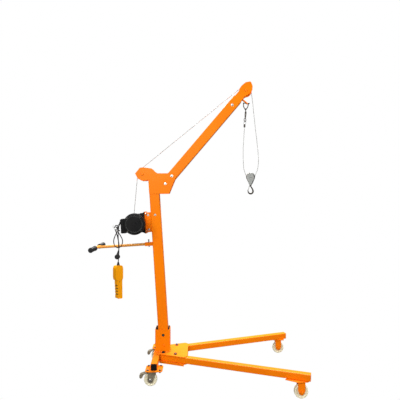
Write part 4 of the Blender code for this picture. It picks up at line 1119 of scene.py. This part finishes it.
# %% Sheaves
def sheave_profile(rim, groove, half_width, boss):
    half = [(boss - 0.004, half_width), (boss, half_width), (boss + 0.0015, half_width * 0.55),
            (rim - 0.0145, half_width * 0.50), (rim - 0.0115, half_width * 0.92), (rim - 0.0015, half_width),
            (rim, half_width - 0.0015)]
    bottom = [(groove + 0.0010, 0.0024), (groove, 0.0)]
    upper = half + bottom
    return upper + [(radius, -height) for radius, height in reversed(upper[:-1])]


SHEAVES = (("rear_sheave", 0.0495, 0.0442, 0.0095, 0.0150, 0.0082),
           ("tip_sheave", 0.0495, 0.0442, 0.0095, 0.0150, 0.0082),
           ("block_sheave", 0.0360, 0.0300, 0.0100, 0.0120, 0.0062))
for sheave, rim, groove, half_width, boss, shaft in SHEAVES:
    centre = box_centre(sheave)
    low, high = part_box(sheave)
    profile = [(shaft, half_width), *sheave_profile(rim, groove, half_width, boss)[1:-1],
               (shaft, -half_width)]
    mesh = turned(profile, 64, closed=True)
    if sheave != "block_sheave":
        spacer = [(shaft, high[1]), (0.0125, high[1]), (0.0125, low[1]), (shaft, low[1])]
        mesh = joined(mesh, turned(spacer, 32, closed=True))
    paint, paint_slot = (ZINC, "zinc_plate") if sheave == "block_sheave" else (ORANGE, "orange_paint")
    piece(sheave + "_turned", mesh, paint, sheave, at(*centre) @ ALONG_Y, [sheave])

# %% Shackle, swivel and ferrule
SHACKLE_X, SHACKLE_Z = 0.4136, 2.2174
SWIVEL_TOP = Vector((0.4096, 0.0, 2.1644))
LOWER_RING = Vector((SWIVEL_TOP.x - 0.0055, 0.0, SWIVEL_TOP.z - 0.084))
FERRULE = Vector((0.4001, 0.0, 2.0324))


def shackle_mesh():
    route = [(-0.021, 0.005), (-0.022, -0.012), (-0.020, -0.028), (-0.013, -0.042), (-0.004, -0.0530),
             (0.0050, -0.042), (0.0140, -0.026), (0.0180, -0.012), (0.021, 0.005)]
    bow = swept(smooth_route([(SHACKLE_X + x, 0, SHACKLE_Z + z) for x, z in route], 0.002), 0.0038, 5)
    eyes = []
    for side in (-1, 1):
        eye = turned([(0.0030, 0.0032), (0.0062, 0.0032), (0.0068, 0.0022), (0.0068, -0.0022),
                      (0.0062, -0.0032), (0.0030, -0.0032)], 24, closed=True)
        eyes.append(moved(eye, at(SHACKLE_X + side * 0.0205, 0, SHACKLE_Z) @ ALONG_X))
    pin = moved(rod(0.0030, 0.0510), at(SHACKLE_X, 0, SHACKLE_Z) @ ALONG_X)
    head = bolts([((SHACKLE_X + 0.0238, 0, SHACKLE_Z), (1, 0, 0))], 0.0050, 0.001, washer=False)
    return joined(bow, pin, head, *eyes)


def ellipse(centre, half_a, half_z, plane, count=40):
    points = []
    for i in range(count):
        a = 2 * math.pi * i / count
        across = half_a * math.cos(a)
        step = Vector((across, 0, half_z * math.sin(a))) if plane == "XZ" else Vector(
            (0, across, half_z * math.sin(a)))
        points.append(centre + step)
    return points


def swivel_mesh():
    upper = swept(ellipse(SWIVEL_TOP + Vector((0, 0, -0.002)), 0.0085, 0.0125, "YZ"), 0.0031, 5, True)
    barrel = [(0, 0.012), (0.0040, 0.012), (0.0048, 0.0110), (0.0075, 0.0048), (0.0078, 0.0030),
              (0.0070, 0.0018), (0.0070, -0.0010), (0.0076, -0.0016), (0.0065, -0.030), (0.0056, -0.0340),
              (0.0058, -0.0360), (0.0045, -0.048), (0, -0.049)]
    body = moved(turned(barrel, 36), at(SWIVEL_TOP.x, 0, SWIVEL_TOP.z - 0.0255)
                 @ Matrix.Rotation(math.radians(4), 4, "Y"))
    lower = swept(ellipse(LOWER_RING, 0.0075, 0.0130, "XZ"), 0.0031, 5, True)
    return joined(upper, body, lower)


def ferrule_mesh():
    sleeve = [(0, 0.013), (0.0055, 0.013), (0.0072, 0.0110), (0.0075, 0.0085), (0.0075, -0.0085),
              (0.0072, -0.0110), (0.0055, -0.0130), (0, -0.013)]
    return moved(turned(sleeve, 36), at(*FERRULE))


def rope_eye_points():
    top = LOWER_RING + Vector((0, 0, -0.0095))
    left = [(-0.0066, -0.0300), (-0.0080, -0.0190), (-0.0064, -0.0060)]
    right = [(0.0062, -0.0060), (0.0046, -0.0190), (-0.0014, -0.0300)]
    route = [top + Vector((x, 0, z)) for x, z in (*left, (0, 0.0022), *right)]
    return smooth_route(route, 0.0012)


piece("shackle_forged", shackle_mesh(), STEEL, "frame", stands_for=["anchor_shackle"])
piece("swivel_forged", swivel_mesh(), STEEL, "frame", stands_for=["rope_swivel"])
piece("ferrule_pressed", ferrule_mesh(), STEEL, "frame", stands_for=["rope_ferrule"])
piece("rope_eye", laid_rope(rope_eye_points()), WIRE, "frame")

# %% [markdown]
# ## Hoist rope and falls
# The rope leaves the drum, runs up to the rear sheave, along the boom and over the tip sheave. One fall
# hangs down to the hook block, turns round its sheave, and rises to the ferrule. The falls shorten as the
# hook goes up; here each fall gets a mesh of its own.

# %% Ropes
def sheave_arc(centre, radius, start, end, count):
    return [(x, 0.0, z) for x, z in arc((centre.x, centre.z), radius, start, end, count)]


tip_centre = box_centre("tip_sheave")
block_centre = box_centre("block_sheave")
upper_run = [(-0.517, 0.0, 1.2339), *sheave_arc(box_centre("rear_sheave"), 0.0462, 173.7, 129.2, 20),
             *sheave_arc(tip_centre, 0.0462, 129.2, 12, 40)]
live_route = [(0.4543, 0, 2.3264), (0.4585, 0, 2.290), (0.4665, 0, 2.230), (0.4770, 0, 2.130),
              (0.4900, 0, 2.010), (0.5030, 0, 1.900), (0.5130, 0, 1.800), (0.5150, 0, 1.730),
              (0.5070, 0, 1.670), (0.4930, 0, 1.635), (0.4817, 0, 1.6066)]
dead_route = [(0.4183, 0, 1.6066), (0.4060, 0, 1.640), (0.3945, 0, 1.680), (0.3900, 0, 1.740),
              (0.3890, 0, 1.830), (0.3941, 0, 1.930), (0.4001, 0, 2.0191)]
wrap_run = sheave_arc(block_centre, 0.0322, -6, -174, 40)
piece("rope_upper", laid_rope([Vector(point) for point in upper_run]), WIRE, "frame",
      stands_for=["hoist_rope"])
live_fall = piece("rope_live_fall", laid_rope(smooth_route(live_route, 0.006)), WIRE, "frame",
                  stands_for=["hook_rope"])
dead_fall = piece("rope_dead_fall", laid_rope(smooth_route(dead_route, 0.006)), WIRE, "frame")
piece("rope_wrap", laid_rope([Vector(point) for point in wrap_run]), WIRE, "hook_block")
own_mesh(live_fall)
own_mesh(dead_fall)

# %% [markdown]
# ## Hook block
# Two pressed cheeks hold the sheave on a pin, with a crosshead below for the hook's shank. The hook is a
# forged bar, thick in its bowl and thin at its tip, and a sprung tongue closes its throat.

# %% Hook block
HOOK_TOP = Vector((0.450, 0.0, 1.545))


def cheek_mesh():
    loop = arc((0, 0), 0.0330, -5, 185, 30) + [(-0.0300, -0.0180), (-0.0130, -0.0560), (-0.0090, -0.0660),
                                              (-0.0070, -0.0672), (0.0070, -0.0672), (0.0090, -0.0660),
                                              (0.0130, -0.0560), (0.0300, -0.0180)]
    meshes = []
    for side in (-1, 1):
        cheek = outline(loop, 0.0025)
        meshes.append(moved(cheek, at(block_centre.x, side * 0.0125, block_centre.z) @ FLAT_IN_XZ))
    cross = outline(rounded_box(0.0190, 0.0232, 0.002, 4), 0.016)
    meshes.append(moved(cross, at(block_centre.x, 0, block_centre.z - 0.058)))
    meshes.append(moved(rod(0.0060, 0.0300), at(*block_centre) @ ALONG_Y))
    heads = [((block_centre.x, side * 0.01375, block_centre.z), (0, side, 0)) for side in (-1, 1)]
    rivets = [((block_centre.x, side * 0.01375, block_centre.z - 0.058), (0, side, 0)) for side in (-1, 1)]
    return joined(*meshes, bolts(heads, 0.0070, 0.0012), bolts(rivets, 0.0040, 0.0008))


def edge_shade_mesh():
    """A dark bar along the front edge of each cheek: painted shade on the block's shaded edge."""
    turns = [math.radians(40 - 10 * i) for i in range(5)]
    line = [(0.0300 * math.cos(a), 0.0300 * math.sin(a)) for a in turns]
    line += [(0.0290, -0.0150), (0.0205, -0.0360), (0.0125, -0.0530), (0.0080, -0.0620)]
    bars = []
    for side in (-1, 1):
        route = [(block_centre.x + x, side * 0.0148, block_centre.z + z) for x, z in line]
        bars.append(swept(smooth_route(route, 0.002), 0.0030, 4))
    return joined(*bars)


piece("block_cheeks_pressed", cheek_mesh(), PRESSED_ZINC, "hook_block", stands_for=["block_cheeks"])
# Dark bars on the cheeks' front edges: painted shade.
piece("block_edge_guard", edge_shade_mesh(), CASTING, "hook_block")


# %% Hook and latch
def hook_mesh():
    x, top = HOOK_TOP.x, HOOK_TOP.z
    bowl = [(0.450 + 0.0205 * math.cos(a), 1.493 + 0.0205 * math.sin(a))
            for a in (math.radians(15 - 20 * i) for i in range(11))]
    route = [(x, top + 0.022), (x, top - 0.006), (x + 0.004, top - 0.016), (x + 0.014, top - 0.032),
             *bowl, (x - 0.0235, top - 0.041)]
    radii = [.0050, .0050, .0050, .0056, .0064, .0070, .0072, .0074, .0074, .0072, .0068, .0060, .0052,
             .0044, .0038, .0026]
    line = smooth_route([(px, 0, pz, width) for (px, pz), width in zip(route, radii)], 0.0022)
    bar = swept([point.xyz for point in line], 1.0, 8, radii=[point.w for point in line])
    collar = turned([(0.0045, 0.0012), (0.0075, 0.0012), (0.0085, 0.0000), (0.0085, -0.0075),
                     (0.0070, -0.0092), (0.0045, -0.0092)], 32, closed=True)
    nut = turned([(0, 0.0085), (0.0062, 0.0085), (0.0080, 0.0070), (0.0080, -0.0055), (0, -0.0055)], 6)
    return joined(bar, moved(collar, at(x, 0, top - 0.0002)), moved(nut, at(x, 0, top + 0.0165)))


def latch_mesh():
    pivot = Vector((0.4425, 0, 1.535))
    loop = [(0.0022, 0.0020), (0.0004, 0.0034), (-0.0020, 0.0034), (-0.0034, 0.0010), (-0.0130, -0.0300),
            (-0.0122, -0.0316), (-0.0104, -0.0316), (-0.0060, -0.0200)]
    tongue = moved(outline(loop, 0.0075), at(*pivot) @ FLAT_IN_XZ)
    pin = moved(rod(0.0016, 0.0110, 12), at(*pivot) @ ALONG_Y)
    return joined(tongue, pin)


piece("hook_forged", hook_mesh(), STEEL, "hook", stands_for=["load_hook"])
piece("latch_pressed", latch_mesh(), ZINC, "latch", stands_for=["hook_latch"],
      round_edges=0.0005)

# %% [markdown]
# ## Hoist
# The hoist hangs on a bracket behind the mast. Between two flange plates runs the drum with its layer of
# wound rope. The motor is a ribbed can on the near side with a wide end cover, and the gearbox is on the
# far side. A box behind them takes the two cables in through glands.

# %% Drum and rope winding
HOIST_AT = IN_MAST @ HOIST_AXIS
ON_HOIST = at(*HOIST_AT) @ ALONG_Y


def drum_mesh():
    flange = [(0.0340, 0.0520), (0.0540, 0.0520), (0.0560, 0.0505), (0.0560, 0.0500), (0.0545, 0.0490),
              (0.0357, 0.0490)]
    core = [(0.0340, 0.0490), (0.0357, 0.0490), (0.0357, -0.0490), (0.0340, -0.0490)]
    near = [(radius, -height) for radius, height in reversed(flange)]
    shaft = [(0, 0.110), (0.0092, 0.110), (0.010, 0.1085), (0.010, 0.052), (0.034, 0.052), (0.034, -0.052),
             (0.010, -0.052), (0.010, -0.0665), (0, -0.0665)]
    return joined(turned(flange, 64, closed=True), turned(near, 64, closed=True),
                  turned(core, 64, closed=True), turned(shaft, 48))


def winding_points():
    """One layer of rope on the drum: a helix whose pitch is a rope's width."""
    pitch = 0.00415
    half = 0.0465
    steps = 40
    count = int(2 * half / pitch * steps)
    points = []
    for i in range(count + 1):
        a = 2 * math.pi * i / steps
        points.append(Vector((0.0376 * math.cos(a), 0.0376 * math.sin(a), half - pitch * i / steps)))
    return points


piece("drum_turned", drum_mesh(), CASTING, "drum", ON_HOIST, ["hoist_drum"])
piece("rope_winding", swept(winding_points(), 0.0020, 2), WIRE, "drum", ON_HOIST)


# %% Motor, end cover and gearbox
def motor_mesh():
    can = [(0.0125, -0.0613), (0.0660, -0.0613), (0.0690, -0.0640), (0.0700, -0.0700), (0.0700, -0.1580),
           (0.0740, -0.1600), (0.0760, -0.1615), (0.0760, -0.1660), (0.052, -0.1660), (0.052, -0.0700),
           (0.0125, -0.0700)]
    fins = moved(ribs(36, 0.0715, (0.0090, 0.0024, 0.0900), CASTING), at(0, 0, -0.1140))
    lugs = moved(ribs(4, 0.0735, (0.0080, 0.0140, 0.0160), CASTING),
                 Matrix.Rotation(math.radians(45), 4, "Z") @ at(0, 0, -0.1570))
    return joined(turned(can, 72, closed=True), fins, lugs)


def cover_mesh():
    dome = [(0, -0.1663), (0.0830, -0.1663), (0.0845, -0.1680), (0.0845, -0.1900), (0.0838, -0.1940),
            (0.0810, -0.1975), (0.0770, -0.1995), (0.0720, -0.2000), (0.0660, -0.2000), (0.0652, -0.1985),
            (0.0612, -0.1985), (0.0600, -0.1996), (0.0180, -0.1996), (0.0168, -0.1986), (0.0150, -0.1986),
            (0.0140, -0.2000), (0, -0.2000)]
    bars = []
    for i in range(3):
        bar = outline(rounded_box(0.040, 0.0060, 0.002, 4), 0.0016)
        spoke = Matrix.Rotation(math.radians(90 + 120 * i), 4, "Z") @ at(0.038, 0, -0.1998)
        bars.append(moved(bar, spoke))
    return joined(turned(dome, 96), *bars)


def cover_ring_mesh():
    return turned([(0.0610, -0.1980), (0.0625, -0.2002), (0.0645, -0.2002), (0.0658, -0.1980)], 96,
                  closed=True)


def gearbox_mesh():
    box = [(0, 0.1490), (0.0180, 0.1490), (0.0200, 0.1475), (0.0200, 0.1420), (0.0480, 0.1400),
           (0.0560, 0.1360), (0.0600, 0.1280), (0.0610, 0.1060), (0.0690, 0.1050), (0.0700, 0.1035),
           (0.0700, 0.0960), (0.0690, 0.0945), (0.0640, 0.0940), (0.0660, 0.0640), (0.0690, 0.0625),
           (0.0700, 0.0613), (0, 0.0613)]
    webs = moved(ribs(8, 0.0620, (0.0080, 0.0040, 0.0300), CASTING), at(0, 0, 0.0790))
    return joined(turned(box, 72), webs)


piece("motor_can", motor_mesh(), CASTING, "frame", ON_HOIST, ["motor_housing"])
piece("motor_cover", cover_mesh(), CASTING, "frame", ON_HOIST, ["motor_end_cap"],
      round_edges=0.0004)
# The cover's ring is a painted highlight, lighter than the black casting.
piece("motor_cover_ring", cover_ring_mesh(), PAINTED_HIGHLIGHT_RIM, "frame", ON_HOIST)
piece("gearbox_cast", gearbox_mesh(), CASTING, "frame", ON_HOIST, ["gearbox_housing"])


# %% Hoist fasteners, box lid and glands
def in_hoist(x, y, z):
    return tuple(IN_MAST @ Vector((HOIST_AXIS.x + x, y, HOIST_AXIS.z + z)))


def aim_in_mast(x, y, z):
    return tuple((IN_MAST.to_3x3() @ Vector((x, y, z))).normalized())


def on_circle(radius, count, start, y, side):
    places = []
    for i in range(count):
        a = math.radians(start + 360 * i / count)
        places.append((in_hoist(radius * math.cos(a), y, radius * math.sin(a)), (0, side, 0)))
    return places


def side_web_mesh():
    """Straight-edged webs that tie each side plate of the hoist to its base."""
    webs = []
    for side in (-1, 1):
        web = outline(rounded_box(0.0480, 0.1540, 0.0040, 5), 0.0050)
        webs.append(moved(web, IN_MAST @ at(HOIST_AXIS.x + 0.0365, side * 0.0630, HOIST_AXIS.z) @ FLAT_IN_XZ))
    return joined(*webs)


def hoist_fastener_mesh():
    cover_screws = on_circle(0.0735, 4, 45, -0.1996, -1)
    gear_screws = on_circle(0.0650, 6, 30, 0.1050, 1)
    flange_bolts = []
    for side in (-1, 1):
        for x, z in ((0.046, 0.046), (0.046, -0.046), (-0.050, 0.032), (-0.050, -0.032)):
            flange_bolts.append((in_hoist(x, side * 0.0613, z), (0, side, 0)))
    return joined(bolts(cover_screws, 0.0042, 0.0004, washer=False), bolts(gear_screws, 0.0042, 0.0010),
                  bolts(flange_bolts, 0.0055, 0.0020))


def bracket_bolt_mesh():
    seats = []
    for y in (-0.052, 0.052):
        for z in (-0.072, 0.072):
            seats.append((tuple(IN_MAST @ Vector((-0.0928, y, HOIST_AXIS.z + z))), aim_in_mast(-1, 0, 0)))
            seats.append((tuple(IN_MAST @ Vector((-0.0805, y, HOIST_AXIS.z + z))), aim_in_mast(1, 0, 0)))
    return bolts(seats, 0.0065, 0.0030)


def junction_lid_mesh():
    lid = outline(rounded_box(0.1080, 0.0740, 0.006, 5), 0.0050)
    place = IN_MAST @ at(-0.2640, -0.120, 1.037) @ ALONG_X
    rim = outline(rounded_box(0.1000, 0.0660, 0.004, 5), 0.0014)
    return joined(moved(lid, place), moved(rim, place @ at(0, 0, -0.0030)))


def lid_screw_mesh():
    seats = []
    for y in (-0.1515, -0.0885):
        for z in (0.9880, 1.0860):
            seats.append((tuple(IN_MAST @ Vector((-0.2668, y, z))), aim_in_mast(-1, 0, 0)))
    return bolts(seats, 0.0030, 0.0002, washer=False)


def gland_mesh():
    meshes = []
    for y in (MAINS_Y, PENDANT_CABLE_Y):
        seat = at(GLAND_SEAT.x, y, GLAND_SEAT.z) @ GLAND_TURN
        tail = turned([(0.0040, 0.0195), (0.0056, 0.0195), (0.0062, 0.0185), (0.0084, 0.0125),
                       (0.0088, 0.0110), (0.0088, 0.0040), (0.0040, 0.0040)], 28, closed=True)
        hexagon = turned([(0, 0.0045), (0.0114, 0.0045), (0.0124, 0.0034), (0.0124, -0.0035),
                          (0, -0.0035)], 6)
        meshes += [moved(tail, seat), moved(hexagon, seat)]
    return joined(*meshes)


piece("hoist_side_webs", side_web_mesh(), CASTING, "frame", round_edges=0.0008)
piece("hoist_fasteners", hoist_fastener_mesh(), STEEL, "frame")
piece("bracket_bolts", bracket_bolt_mesh(), ZINC, "frame")
piece("junction_lid", junction_lid_mesh(), CASTING, "frame", round_edges=0.0008)
piece("junction_lid_screws", lid_screw_mesh(), STEEL, "frame")
piece("cable_glands", gland_mesh(), RUBBER, "frame")

# %% [markdown]
# ## Push handle
# The handle is a bent bar that plugs into a stub on the mast and is held by a pin. Its two rubber grips are
# sleeves with a ring every few millimetres and a flange at each end.

# %% Grips and lock pin
HANDLE_Z = 0.869


def grip_mesh(side):
    low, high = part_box("handle_grip_far")
    start, end = low[1], high[1]
    sleeve = [(0.0112, start), (0.0200, start), (0.0206, start + 0.0012), (0.0206, start + 0.0042),
              (0.0172, start + 0.0060), (0.0172, end - 0.0070), (0.0200, end - 0.0052),
              (0.0204, end - 0.0040), (0.0198, end - 0.0006), (0.0150, end), (0, end), (0, end - 0.004),
              (0.0112, end - 0.004)]
    along = [(radius, side * height) for radius, height in sleeve]
    ridges = rings(22, 0.0053, 0.0169, 0.0018)
    first = at(0, 0, side * (start + 0.0105)) @ Matrix.Diagonal((1, 1, side, 1))
    return joined(turned(along if side > 0 else along[::-1], 40, closed=True), moved(ridges, first))


def lock_pin_mesh():
    seat = IN_MAST @ at(-0.074, 0, HANDLE_Z)
    pin = turned([(0, 0.0380), (0.0048, 0.0380), (0.0060, 0.0368), (0.0060, 0.0322), (0.0050, 0.0310),
                  (0.0040, 0.0305), (0.0040, -0.0220), (0.0030, -0.0240), (0, -0.0240)], 24)
    return moved(pin, seat)


HANDLE_END = (Vector(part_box("handle_grip_far")[0]) + Vector(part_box("handle_grip_far")[1])) / 2
for side_name, side in (("near", -1), ("far", 1)):
    piece("grip_ribbed_" + side_name, grip_mesh(side), RUBBER, "frame",
          at(HANDLE_END.x, 0, HANDLE_END.z) @ ALONG_Y, ["handle_grip_" + side_name])
piece("lock_pin", lock_pin_mesh(), STEEL, "frame", stands_for=["handle_lock_pin"])

# %% [markdown]
# ## Pendant
# The hand control is a wide head with the two buttons, a grip with narrow notches between its finger pads,
# a rubber boot on top, and a few dark parts, among them black slits in the notches that are painted shade.
# The buttons slide in pockets.

# %% Pendant case
PENDANT_TURN = math.radians(42)
IN_PENDANT = at(PENDANT_X, PENDANT_Y, 0) @ Matrix.Rotation(PENDANT_TURN, 4, "Z")
BUTTON_UP_Z = 0.860
BUTTON_DOWN_Z = 0.824
GROOVE_TOP_Z = 0.7440
GROOVE_STEP = 0.0235
GROOVE_LEAN = 0.0016


def grip_grooves():
    """Narrow notches between broad finger pads down the back of the grip."""
    points = []
    for i in range(4):
        x = -0.0205 + GROOVE_LEAN * i
        z = GROOVE_TOP_Z - GROOVE_STEP * i
        points += [(x, z + 0.0040), (x + 0.0065, z + 0.0014), (x + 0.0065, z - 0.0014), (x, z - 0.0040)]
    return points


def head_mesh():
    loop = arc((0.0170, 0.8900), 0.0100, 30, 90, 5) + arc((-0.0190, 0.8900), 0.0100, 90, 150, 5)
    loop += arc((-0.0280, 0.8800), 0.0060, 150, 180, 4) + [(-0.0340, 0.8120), (-0.0290, 0.7880)]
    loop += [(0.0240, 0.7850), (0.0300, 0.7960), (0.0310, 0.8120), (0.0310, 0.8780)]
    return outline(loop, 0.0480)


def pendant_grip_mesh():
    loop = [(0.0255, 0.7950), (-0.0215, 0.7950)] + grip_grooves()
    loop += arc((-0.0080, 0.6480), 0.0080, 185, 262, 6) + arc((0.0190, 0.6450), 0.0080, 275, 350, 6)
    return outline(loop, 0.0400)


def pendant_dark():
    """The small holes and the foot, set into the case, and black slits across the finger pads that are
    painted shade in the notches.
    """
    meshes = []
    for i in range(4):
        # Black slits in the notches: painted shade.
        slit = outline(rounded_box(0.0034, 0.0385, 0.0010, 3), 0.0050)
        place = at(-0.0160 + GROOVE_LEAN * i, 0, GROOVE_TOP_Z - GROOVE_STEP * i)
        meshes.append(moved(slit, place @ ALONG_X))
    for side in (-1, 1):
        meshes.append(moved(rod(0.0036, 0.0010), at(0.002, side * 0.0200, 0.7720) @ ALONG_Y))
    foot = moved(turned([(0, 0.0040), (0.0110, 0.0040), (0.0110, -0.0010), (0.0080, -0.0036), (0, -0.0040)],
                        28), at(0.006, 0, 0.6390))
    return joined(*meshes, foot)


def boot_mesh():
    boot = [(0.0036, 0.9255), (0.0060, 0.9258), (0.0066, 0.9245), (0.0086, 0.9155), (0.0096, 0.9150),
            (0.0096, 0.9120), (0.0090, 0.9115), (0.0104, 0.9080), (0.0114, 0.9075), (0.0114, 0.9045),
            (0.0108, 0.9040), (0.0126, 0.9000), (0.0128, 0.8990), (0.0128, 0.8950), (0.0036, 0.8950)]
    return turned(boot, 36, closed=True)


def button_ring_mesh():
    rings_made = []
    for z in (BUTTON_UP_Z, BUTTON_DOWN_Z):
        ring = turned([(0.0102, -0.0004), (0.0102, 0.0012), (0.0112, 0.0022), (0.0128, 0.0018),
                       (0.0134, -0.0004)], 36, closed=True)
        rings_made.append(moved(ring, at(0.0311, 0, z) @ ALONG_X))
    return joined(*rings_made)


def button_mesh(z):
    face = [(0, 0.0032), (0.0040, 0.0034), (0.0075, 0.0040), (0.0086, 0.0036), (0.0092, 0.0020),
            (0.0092, -0.0035), (0, -0.0035)]
    return moved(turned(face, 36), at(0.0320, 0, z) @ ALONG_X)


def cut(mesh, cutter):
    """Take one closed mesh out of another."""
    whole = bpy.data.objects.new("whole", mesh)
    knife = bpy.data.objects.new("knife", cutter)
    for holder in (whole, knife):
        bpy.context.scene.collection.objects.link(holder)
    boolean = whole.modifiers.new("cut", "BOOLEAN")
    boolean.object = knife
    boolean.solver = "EXACT"
    result = evaluated_mesh(whole)
    bpy.data.objects.remove(knife)
    return result


pocket = joined(*[moved(rod(0.0100, 0.014, 32), at(0.031, 0, z) @ ALONG_X)
                  for z in (BUTTON_UP_Z, BUTTON_DOWN_Z)])
head = piece("pendant_head", cut(moved(head_mesh(), FLAT_IN_XZ), pocket), YELLOW, "frame", IN_PENDANT,
             ["pendant_case"])
grip = piece("pendant_grip", moved(pendant_grip_mesh(), FLAT_IN_XZ), YELLOW, "frame", IN_PENDANT)
for part, width in ((head, 0.0042), (grip, 0.0022)):
    rounding = part.modifiers.new("soft_edges", "BEVEL")
    rounding.width = width
    rounding.segments = 4
    rounding.limit_method = "ANGLE"
    rounding.angle_limit = math.radians(60)
piece("pendant_dark_parts", pendant_dark(), RUBBER, "frame", IN_PENDANT)
piece("pendant_boot", boot_mesh(), RUBBER, "frame", IN_PENDANT)
piece("button_rings", button_ring_mesh(), RUBBER, "frame", IN_PENDANT)
piece("button_up_moulded", button_mesh(BUTTON_UP_Z), GREEN, "button_up", IN_PENDANT, ["button_up"])
piece("button_down_moulded", button_mesh(BUTTON_DOWN_Z), RUBBER, "button_down", IN_PENDANT, ["button_down"])

# %% [markdown]
# ## Casters
# The rear casters are pressed steel. A ball race sits under the plate. The plate, the fork and the brake
# pedal are the frame's own pieces and keep their shape.

# %% Caster trim
def race_mesh(centre):
    race = [(0.0120, 0.0232), (0.0250, 0.0232), (0.0268, 0.0218), (0.0268, 0.0196), (0.0252, 0.0182),
            (0.0252, 0.0160), (0.0240, 0.0146), (0.0120, 0.0140)]
    return moved(turned(race, 48, closed=True), at(centre[0], centre[1], 0.0980))


for side_name in ("near", "far"):
    swivel_at = frame_joint("caster_swivel_" + side_name)
    piece("ball_race_" + side_name, race_mesh(swivel_at), ZINC, "caster_" + side_name)

# %% [markdown]
# ## The dark inside of the tubes
# A tube's mouth is dark because little light gets in. The dark plates and blocks above paint that shade
# into the crossbeam's ends and the socket's mouth; the mast's top is open, so a plate sits a little way down
# inside it.

# %% Mast top
top_plate = moved(outline(rounded_box(0.0710, 0.0710, 0.003), 0.003), IN_MAST @ at(0, 0, 1.4000))
piece("mast_top_plate", top_plate, ORANGE, "frame")

# %% [markdown]
# ## Floor, backdrop and light
# The crane stands in a bright studio. The camera sees a pure white floor and backdrop, while to every other
# ray both are much dimmer, so that the crane's colours and edges stay clear.
# Three large soft lights shape it: a key from the front left, a fill from the right and one from above.

# %% Floor and world
def studio_white(name):
    """White to the camera, and a soft matt white to every other ray."""
    made = bpy.data.materials.new(name)
    made.use_nodes = True
    tree = made.node_tree
    tree.nodes.clear()
    path = node(tree, "ShaderNodeLightPath")
    matt = node(tree, "ShaderNodeBsdfDiffuse", {"Color": (0.12, 0.12, 0.12, 1)})
    glow = node(tree, "ShaderNodeEmission", {"Color": (1, 1, 1, 1), "Strength": 1.0})
    seen = node(tree, "ShaderNodeMixShader", {0: path.outputs["Is Camera Ray"]})
    tree.links.new(matt.outputs["BSDF"], seen.inputs[1])
    tree.links.new(glow.outputs["Emission"], seen.inputs[2])
    out = node(tree, "ShaderNodeOutputMaterial")
    tree.links.new(seen.outputs["Shader"], out.inputs["Surface"])
    return made


floor_mesh = bpy.data.meshes.new("floor")
floor_mesh.from_pydata([(-14, -8, 0), (14, -8, 0), (14, 14, 0), (-14, 14, 0)], [], [(0, 1, 2, 3)])
floor_mesh.materials.append(studio_white("studio_floor"))
floor = bpy.data.objects.new("studio_floor", floor_mesh)
bpy.context.scene.collection.objects.link(floor)

world = bpy.data.worlds.new("studio")
bpy.context.scene.world = world
world.use_nodes = True
world_tree = world.node_tree
world_tree.nodes.clear()
camera_ray = node(world_tree, "ShaderNodeLightPath").outputs["Is Camera Ray"]
dim = node(world_tree, "ShaderNodeBackground", {"Color": (1, 1, 1, 1), "Strength": 0.22})
bright = node(world_tree, "ShaderNodeBackground", {"Color": (1, 1, 1, 1), "Strength": 1.0})
sky = node(world_tree, "ShaderNodeMixShader", {0: camera_ray})
world_tree.links.new(dim.outputs["Background"], sky.inputs[1])
world_tree.links.new(bright.outputs["Background"], sky.inputs[2])
world_out = node(world_tree, "ShaderNodeOutputWorld")
world_tree.links.new(sky.outputs["Shader"], world_out.inputs["Surface"])


# %% Lights
def soft_light(name, place, target, size, power):
    data = bpy.data.lights.new(name, "AREA")
    data.shape = "RECTANGLE"
    data.size = size[0]
    data.size_y = size[1]
    data.energy = power
    made = bpy.data.objects.new(name, data)
    made.location = place
    made.rotation_euler = (Vector(target) - Vector(place)).to_track_quat("-Z", "Y").to_euler()
    bpy.context.scene.collection.objects.link(made)
    return made


lights = [soft_light("key", (-1.3, -4.0, 3.0), (0, 0, 1.1), (2.4, 2.4), 165),
          soft_light("fill", (3.4, -2.6, 1.8), (0, 0, 1.0), (2.2, 2.6), 70),
          soft_light("top", (0.2, 1.4, 4.6), (0, 0.5, 0.6), (3.0, 2.4), 520)]
view = bpy.context.scene.view_settings
view.view_transform = "Standard"
view.look = "None"
view.exposure = 0.0
view.gamma = 1.0
